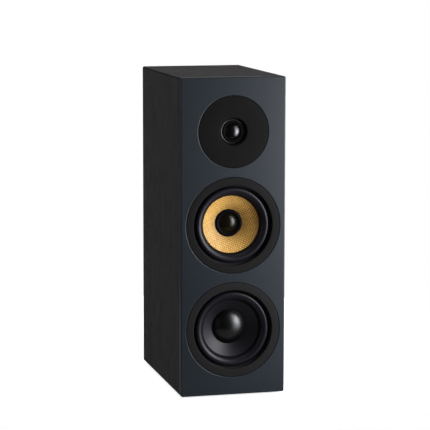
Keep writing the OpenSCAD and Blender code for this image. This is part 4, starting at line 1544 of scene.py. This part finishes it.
@dataclass
class Port:
    """The reflex port's tube with a flare at each end."""

    z: float = 405 * MM
    radius: float = 25 * MM
    length: float = 110 * MM
    flare: float = 10 * MM
    wall: float = 2.5 * MM
    flange: float = 3 * MM
    margin: float = 5 * MM
    tail: float = 8 * MM

    def opening(self, middle: float) -> Edge:
        """The port's opening in the rear panel.

        Args:
            middle: Height of the panel's middle above the floor.

        Returns:
            The opening, stepped for the flange.
        """
        rim, low = self.radius + self.flare + self.margin, -self.flange
        profile = (
            (0.1 * MM, 0.0), (GAP, -0.1 * MM), (GAP, low), (-self.margin, low), (-self.margin, -BOARD_THICK),
        )
        return Edge(Outline.ROUND, (2 * rim, 2 * rim), profile, centre=(0.0, self.z - middle))

    def build(self) -> None:
        """Builds the tube."""
        r, f, w, tail = self.radius, self.flare, self.wall, self.tail
        rim, steps = r + f + self.margin, 14
        quarter = [math.pi / 2 * k / steps for k in range(steps + 1)]
        mouth = [(r + f * (1 - math.cos(a)), -f * (1 - math.sin(a))) for a in quarter]
        end = [
            (r + tail * (1 - math.cos(a)), -self.length + tail * (1 - math.sin(a))) for a in reversed(quarter)
        ]
        back = [
            (rim - 0.4 * MM, 0), (rim, -0.4 * MM), (rim, -self.flange), (r + f, -self.flange),
            (r + w, -f - 4 * MM), (r + w, -self.length + f), (r + tail, -self.length + 1.5 * MM),
        ]
        shell = Shell(Place(Facing.REAR, (0.0, REAR_Y, self.z))).spin(end + mouth + back, SMALL_STEPS)
        settle(shell.make("port_flare_tube", MOULDING), CABINET, "port_tube")


class Pole(Enum):
    """The two binding posts, with the finish and the material slot of their knobs."""

    POSITIVE = (RED, "knob_red")
    NEGATIVE = (BLACK, "knob_black")


@dataclass
class TerminalPanel:
    """The recessed cup on the back with its two binding posts.

    Flange and recess are (width, height), reach is a screw's place from the middle, and socket, knob
    and screw head are (radius, length). The pitch is between the posts' axes.
    """

    z: float = 112 * MM
    flange: Point2 = (96 * MM, 70 * MM)
    flange_thick: float = 2.5 * MM
    flange_corner: float = 5 * MM
    step: float = 4.9 * MM
    recess: Point2 = (75 * MM, 49 * MM)
    depth: float = 26 * MM
    floor: float = -23 * MM
    pitch: float = 19.05 * MM
    stud: float = 3 * MM
    stud_length: float = 12 * MM
    nut: float = 6.95 * MM
    socket: Point2 = (2.05 * MM, 11 * MM)
    washer: float = 0.96 * MM
    knob: Point2 = (7.5 * MM, 14 * MM)
    ribs: int = 16
    screw_reach: Point2 = (43.5 * MM, 30.5 * MM)
    screw_head: Point2 = (2.6 * MM, 1.35 * MM)
    screw_turn: float = 0.7

    @property
    def place(self) -> Place:
        """The cup's own frame, with height 0 at the rear face."""
        return Place(Facing.REAR, (0.0, REAR_Y, self.z))

    @property
    def bore(self) -> float:
        """Radius of the washer's and the knob's bore."""
        return self.stud + 0.05 * MM

    @property
    def washer_base(self) -> float:
        """Height of the captive washer's underside."""
        return self.floor + 2.5 * MM

    @property
    def knob_base(self) -> float:
        """Height of the knob's underside."""
        return self.washer_base + 1 * MM

    @property
    def knob_top(self) -> float:
        """Height of the knob's top."""
        return self.knob_base + self.knob[1]

    def post_place(self, pole: Pole) -> Place:
        """A post's own frame, with height 0 at the rear face.

        Args:
            pole: Which of the two.

        Returns:
            The frame.
        """
        x = self.pitch / 2 if pole is Pole.NEGATIVE else -self.pitch / 2
        return Place(Facing.REAR, (x, REAR_Y, self.z))

    def opening(self, middle: float) -> Edge:
        """The cup's opening in the rear panel.

        Args:
            middle: Height of the panel's middle above the floor.

        Returns:
            The opening, stepped for the flange.
        """
        size, low = (self.flange[0] + 0.6 * MM, self.flange[1] + 0.6 * MM), -self.flange_thick
        profile = (
            (0.1 * MM, 0.0), (0.0, -0.1 * MM), (0.0, low), (-self.step, low), (-self.step, -BOARD_THICK),
        )
        centre = (0.0, self.z - middle)
        return Edge(Outline.RECT, size, profile, centre=centre, corner=self.flange_corner)

    def build_cup(self) -> None:
        """Builds the cup."""
        low, step = -self.flange_thick + GAP, -self.step - 0.05 * MM
        rim = (
            (-0.5 * MM, 0), (-0.15 * MM, -0.15 * MM), (0, -0.5 * MM),
            (0, low), (step, low), (step, -self.depth),
        )
        wall = (
            (1.2 * MM, 0), (0.5 * MM, -0.3 * MM), (0.1 * MM, -1.0 * MM), (0, -2 * MM),
            (0, self.floor + 1.2 * MM), (-0.4 * MM, self.floor + 0.35 * MM), (-1.2 * MM, self.floor),
        )
        radius, deep = self.screw_head
        sink = (2 * radius + 0.2 * MM, 2 * radius + 0.2 * MM)
        cone = ((0, 0), (-deep, -deep - 0.05 * MM))
        sinks = [
            Edge(Outline.ROUND, sink, cone, centre=centre, floor=True, segments=SCREW_STEPS)
            for centre in quarters(self.screw_reach)
        ]
        recess = Edge(Outline.RECT, self.recess, wall, corner=4 * MM, floor=True)
        outer = Edge(Outline.RECT, self.flange, rim, corner=self.flange_corner)
        shell = Shell(self.place).plate(outer, [recess, *sinks])
        settle(shell.make("terminal_cup_moulding", MOULDING), CABINET, "terminal_cup")

    def build_screws(self, copies: Copies) -> None:
        """Builds the cup's four cross-head screws.

        Args:
            copies: The node group that repeats them.
        """
        radius, deep = self.screw_head
        cone = ((-0.15 * MM, 0), (0, -0.12 * MM), (-deep, -deep))
        head = Edge(Outline.ROUND, (2 * radius, 2 * radius), cone, segments=SCREW_STEPS)
        slope = ((0, 0), (-0.05 * MM, -0.7 * MM))
        cross = Edge(Outline.CROSS, (radius, 0.6 * MM), slope, floor=True)
        screw = Shell(Place(Facing.REAR, (0.0, 0.0, 0.0))).plate(head, [cross]).make("screw", SCREW)
        points = [self.place.at(x, z, -0.05 * MM) for x, z in quarters(self.screw_reach)]
        screws = copies.run("cup_screw_set", screw, points, SCREW, turn=self.screw_turn)
        settle(screws, CABINET, "cup_screws")

    def build_post(self, pole: Pole) -> None:
        """Builds one binding post's stud, nut and captive washer.

        Args:
            pole: Which of the two.
        """
        sign, place, base, top = pole.name.lower(), self.post_place(pole), self.washer_base, self.knob_top
        stud, tail, (inner, deep) = self.stud, -self.depth - self.stud_length, self.socket
        profile = [
            (stud, tail), (stud, top - 0.3 * MM), (stud - 0.3 * MM, top), (inner + 0.15 * MM, top),
            (inner, top - 0.2 * MM), (inner, top - deep), (0, top - deep - 0.6 * MM), (0, tail),
        ]
        shell = Shell(place).spin(profile, POST_STEPS, closed=False)
        hexagon = arc((0.0, 0.0), self.nut, 0, 360, 6)[:-1]
        shell.tube(*(shell.ring(hexagon, h) for h in (self.floor + 0.05 * MM, base - 0.05 * MM)))
        settle(shell.make(sign + "_post_stud", GILT), CABINET, sign + "_post")
        rim, over = self.knob[0] - 1 * MM, base + self.washer
        ring = [(self.bore, base), (rim, base), (rim, over), (self.bore, over)]
        shell = Shell(place).spin(soften(ring, 0.15 * MM), POST_STEPS)
        settle(shell.make(sign + "_clamp_washer", GILT), sign + "_clamp", sign + "_washer")

    def build_knob(self, pole: Pole, copies: Copies) -> None:
        """Builds one binding post's ribbed knob.

        Args:
            pole: Which of the two.
            copies: The node group that repeats the ribs.
        """
        sign, place, (finish, slot) = pole.name.lower(), self.post_place(pole), pole.value
        r, low, top = self.knob[0], self.knob_base, self.knob_top
        core = r - 0.45 * MM
        profile = [
            (self.bore, low), (r, low), (r, low + 2.2 * MM), (core, low + 2.6 * MM), (core, top - 0.4 * MM),
            (core - 0.7 * MM, top), (self.stud + 1.6 * MM, top), (self.bore, top - 1.2 * MM),
        ]
        shell = Shell(place).spin(soften(profile, 0.3 * MM), KNOB_STEPS)
        knob = shell.make(sign + "_knob_core", finish)
        root, shoulder = core - 0.6 * MM, r - 0.1 * MM
        wedge = [
            (root, -0.85 * MM), (shoulder, -0.5 * MM), (r, 0), (shoulder, 0.5 * MM), (root, 0.85 * MM),
        ]
        levels = ((low + 2.3 * MM, 1.0), (top - 1.2 * MM, 1.0), (top - 0.5 * MM, 0.955))
        shell = Shell(Place(Facing.REAR, (0.0, 0.0, 0.0)))
        shell.tube(*(shell.ring([(u * k, v) for u, v in wedge], h) for h, k in levels))
        rib, spots = shell.make("rib", finish), [place.at(0, 0, 0)] * self.ribs
        ribs = copies.run(sign + "_knob_ribs", rib, spots, finish, turn=2 * math.pi / self.ribs)
        for piece in (knob, ribs):
            settle(piece, sign + "_turner", sign + "_knob")

    def build(self, copies: Copies) -> None:
        """Builds the whole panel.

        Args:
            copies: The node group that repeats screws and ribs.
        """
        self.build_cup()
        self.build_screws(copies)
        for pole in Pole:
            self.build_post(pole)
            self.build_knob(pole, copies)


# ---------------------------------------------------------------------- studio


class Glow(Enum):
    """The outline of a light's face."""

    RECTANGLE = 1.0
    ELLIPSE = math.pi / 4


@dataclass(frozen=True)
class Lamp:
    """A soft light, with the radiance that its face shows."""

    name: str
    position: tuple[float, float, float]
    aim: tuple[float, float, float]
    size: Point2
    radiance: float
    face: Glow = Glow.RECTANGLE
    colour: Colour = (0.94, 0.95, 1.0)

    @property
    def power(self) -> float:
        """The light's power in watts."""
        return self.radiance * math.pi * self.size[0] * self.size[1] * self.face.value


@dataclass
class Studio:
    """A white floor and surround with soft lights, and the camera at the front left.

    The backdrop's angles from the view's axis are where its mirror image ends and where it is full.
    Fill and gloss are the world's strength on plain and on mirrored rays.
    """

    lamps: tuple[Lamp, ...] = (
        Lamp("key_box", (0.471, -0.497, 0.345), (0.0, -0.135, 0.30), (0.52, 0.92), 2.7),
        Lamp("key_glow", (0.465, -0.492, 0.335), (0.0, -0.135, 0.30), (0.36, 0.62), 4.8, Glow.ELLIPSE),
        Lamp("key_core", (0.460, -0.488, 0.325), (0.0, -0.135, 0.30), (0.22, 0.36), 8.6, Glow.ELLIPSE),
        Lamp("front_fill", (-1.2, -0.9, 0.5), (0.0, -0.135, 0.25), (0.9, 1.0), 0.15),
        Lamp("side_box", (-1.3, -0.05, 0.55), (-0.08, 0.0, 0.25), (0.9, 1.2), 1.35),
        Lamp("top_box", (-0.25, -0.1, 1.5), (-0.05, 0.0, 0.495), (0.9, 0.9), 2.65),
        Lamp("back_box", (0.85, 1.2, 0.28), (0.0, 0.135, 0.28), (0.9, 0.4), 11.0),
    )
    aim: tuple[float, float, float] = (-29.05 * MM, -135 * MM, 285.0 * MM)
    azimuth: float = -14.46
    elevation: float = 8.25
    roll: float = 0.1
    distance: float = 2.9117
    lens: float = 159.85
    fill: float = 0.05
    gloss: float = 0.03
    backdrop: tuple[float, float] = (25.0, 16.0)
    sensor: float = 36.0
    clip: tuple[float, float] = (0.05, 60.0)
    floor_white: Colour = (0.9, 0.9, 0.9)
    floor_pale: Colour = (0.93, 0.93, 0.93)
    floor_lift: float = 0.78
    floor_gloss: float = 0.08
    floor_bounce: tuple[float, ...] = (0.25, 0.25, 0.25, 1.0)
    floor_radius: float = 0.55
    floor_steps: int = 96
    floor_back: float = 0.18

    def build_floor(self) -> None:
        """Builds the floor, which looks white but keeps the object's soft shadow."""
        g = Graph("studio_white")
        soft = g.noise(g.place(), scale=3.0, detail=2.0)
        tone = g.mix(self.floor_white, self.floor_pale, soft)
        material = g.finish(Base_Color=tone, Roughness=soft * 0.05 + 0.9, Specular_IOR_Level=0.0)
        surface = g.output.inputs["Surface"]
        add = functools.partial(Studio.add, g.tree)
        lift = add("ShaderNodeEmission", WHITE, self.floor_lift)
        shown = add("ShaderNodeAddShader", surface.links[0].from_socket, lift.outputs[0])
        grey = add("ShaderNodeBsdfDiffuse", self.floor_bounce)
        level = add("ShaderNodeMath", Studio.mirrored(g.tree), self.floor_gloss, operation="MULTIPLY")
        glow = add("ShaderNodeEmission", WHITE, level.outputs[0])
        other = add("ShaderNodeAddShader", grey.outputs[0], glow.outputs[0])
        camera = add("ShaderNodeLightPath").outputs["Is Camera Ray"]
        both = add("ShaderNodeMixShader", camera, other.outputs[0], shown.outputs[0])
        g.tree.links.new(both.outputs[0], surface)
        shell = Shell(Place(Facing.UP, (0.0, self.floor_back, 0.0)))
        edge = arc((0.0, 0.0), self.floor_radius, 0, 360, self.floor_steps)[:-1]
        shell.fill(shell.ring(edge, 0.0))
        floor = shell.make("studio_floor", RUBBER)
        floor.data.materials[0] = material

    @staticmethod
    def add(tree: bpy.types.NodeTree, kind: str, *inputs: object, **settings: object) -> bpy.types.Node:
        """Adds a node whose first inputs are sockets or values.

        Args:
            tree: The tree to add it to.
            kind: The node's type.
            inputs: Sockets or values.
            settings: Attributes to set on it.

        Returns:
            The node.
        """
        made = tree.nodes.new(kind)
        for key, value in settings.items():
            setattr(made, key, value)
        for i, value in enumerate(inputs):
            if isinstance(value, bpy.types.NodeSocket):
                tree.links.new(value, made.inputs[i])
            else:
                made.inputs[i].default_value = value
        return made

    @staticmethod
    def mirrored(tree: bpy.types.NodeTree) -> bpy.types.NodeSocket:
        """Adds nodes that are 1 on glossy and transmission rays and 0 on the rest.

        Args:
            tree: The tree to add them to.

        Returns:
            The result.
        """
        path = Studio.add(tree, "ShaderNodeLightPath").outputs
        ends = path["Is Glossy Ray"], path["Is Transmission Ray"]
        return Studio.add(tree, "ShaderNodeMath", *ends, operation="MAXIMUM").outputs[0]

    def build_world(self) -> None:
        """Lights the scene all round, and shows plain white behind the object."""
        world = bpy.data.worlds.new("studio_world")
        bpy.context.scene.world = world
        world.use_nodes = True
        tree = world.node_tree
        tree.nodes.clear()
        add = functools.partial(Studio.add, tree)
        wide, tight = (math.cos(math.radians(a)) for a in self.backdrop)
        ahead = add("ShaderNodeVectorMath", operation="DOT_PRODUCT")
        tree.links.new(add("ShaderNodeTexCoord").outputs["Generated"], ahead.inputs[0])
        ahead.inputs[1].default_value = tuple(-self.back)
        roll = add("ShaderNodeMapRange", ahead.outputs["Value"], wide, tight, 0.0, 1.0)
        mirrored = Studio.mirrored(tree)
        plain = add("ShaderNodeMapRange", mirrored, 0.0, 1.0, self.fill, self.gloss)
        reflected = add("ShaderNodeMath", mirrored, roll.outputs[0], operation="MULTIPLY")
        camera = add("ShaderNodeLightPath").outputs["Is Camera Ray"]
        shown = add("ShaderNodeMath", camera, reflected.outputs[0], operation="MAXIMUM")
        level = add("ShaderNodeMapRange", shown.outputs[0], 0.0, 1.0, plain.outputs[0], 1.0)
        light = add("ShaderNodeBackground", WHITE, level.outputs[0])
        tree.links.new(light.outputs[0], add("ShaderNodeOutputWorld").inputs["Surface"])

    def build_lamps(self) -> None:
        """Places the soft lights."""
        for lamp in self.lamps:
            data = bpy.data.lights.new(lamp.name, "AREA")
            data.shape = lamp.face.name
            data.size, data.size_y = lamp.size
            data.energy = lamp.power
            data.color = lamp.colour
            obj = show(lamp.name, data)
            obj.location = lamp.position
            aim = Vector(lamp.aim) - Vector(lamp.position)
            obj.rotation_euler = aim.to_track_quat("-Z", "Y").to_euler()

    @property
    def back(self) -> Vector:
        """Direction from the object to the camera."""
        a, e = math.radians(self.azimuth), math.radians(self.elevation)
        return Vector((math.sin(a) * math.cos(e), -math.cos(a) * math.cos(e), math.sin(e)))

    def build_camera(self) -> None:
        """Places the camera."""
        data = bpy.data.cameras.new("view")
        data.lens = self.lens
        data.sensor_width = self.sensor
        data.clip_start, data.clip_end = self.clip
        camera = show("view", data)
        camera.location = Vector(self.aim) + self.back * self.distance
        turn = (-self.back).to_track_quat("-Z", "Y")
        camera.rotation_mode = "QUATERNION"
        camera.rotation_quaternion = turn @ Quaternion((0.0, 0.0, 1.0), math.radians(self.roll))
        bpy.context.scene.camera = camera

    def build(self) -> None:
        """Builds the whole studio."""
        self.build_floor()
        self.build_world()
        self.build_lamps()
        self.build_camera()
        bpy.context.scene.view_settings.view_transform = "Standard"


# ------------------------------------------------------------------------ main


def paint_cad_nodes() -> None:
    """Gives each CAD node the finish of its material slot."""
    for part in frame["record"]["subparts"]:
        obj = frame["nodes"][part["node"]]
        obj.data.materials.clear()
        obj.data.materials.append(SLOT_FINISH[part["material_slot"]].material())


def main() -> None:
    """Builds every piece in order."""
    logging.basicConfig(level=logging.INFO, format="%(name)s: %(message)s")
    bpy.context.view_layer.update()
    paint_cad_nodes()
    copies = Copies()
    cabinet, port, panel = Cabinet(), Port(), TerminalPanel()
    for side in Side:
        cabinet.build_panel(side)
    cabinet.build_front()
    cabinet.build_rear([port.opening(cabinet.middle), panel.opening(cabinet.middle)])
    cabinet.build_feet(copies)
    Tweeter().build()
    ConeDriver("mid", MID_Z, CapStyle.COLLAR_AND_DOME, MID_RING, WEAVE, "woven_cone").build()
    ConeDriver("woofer", WOOFER_Z, CapStyle.DUST_CAP, LIT_WOOFER_RING, PULP, "coated_paper").build()
    port.build()
    panel.build(copies)
    Studio().build()


if __name__ == "__main__":
    main()
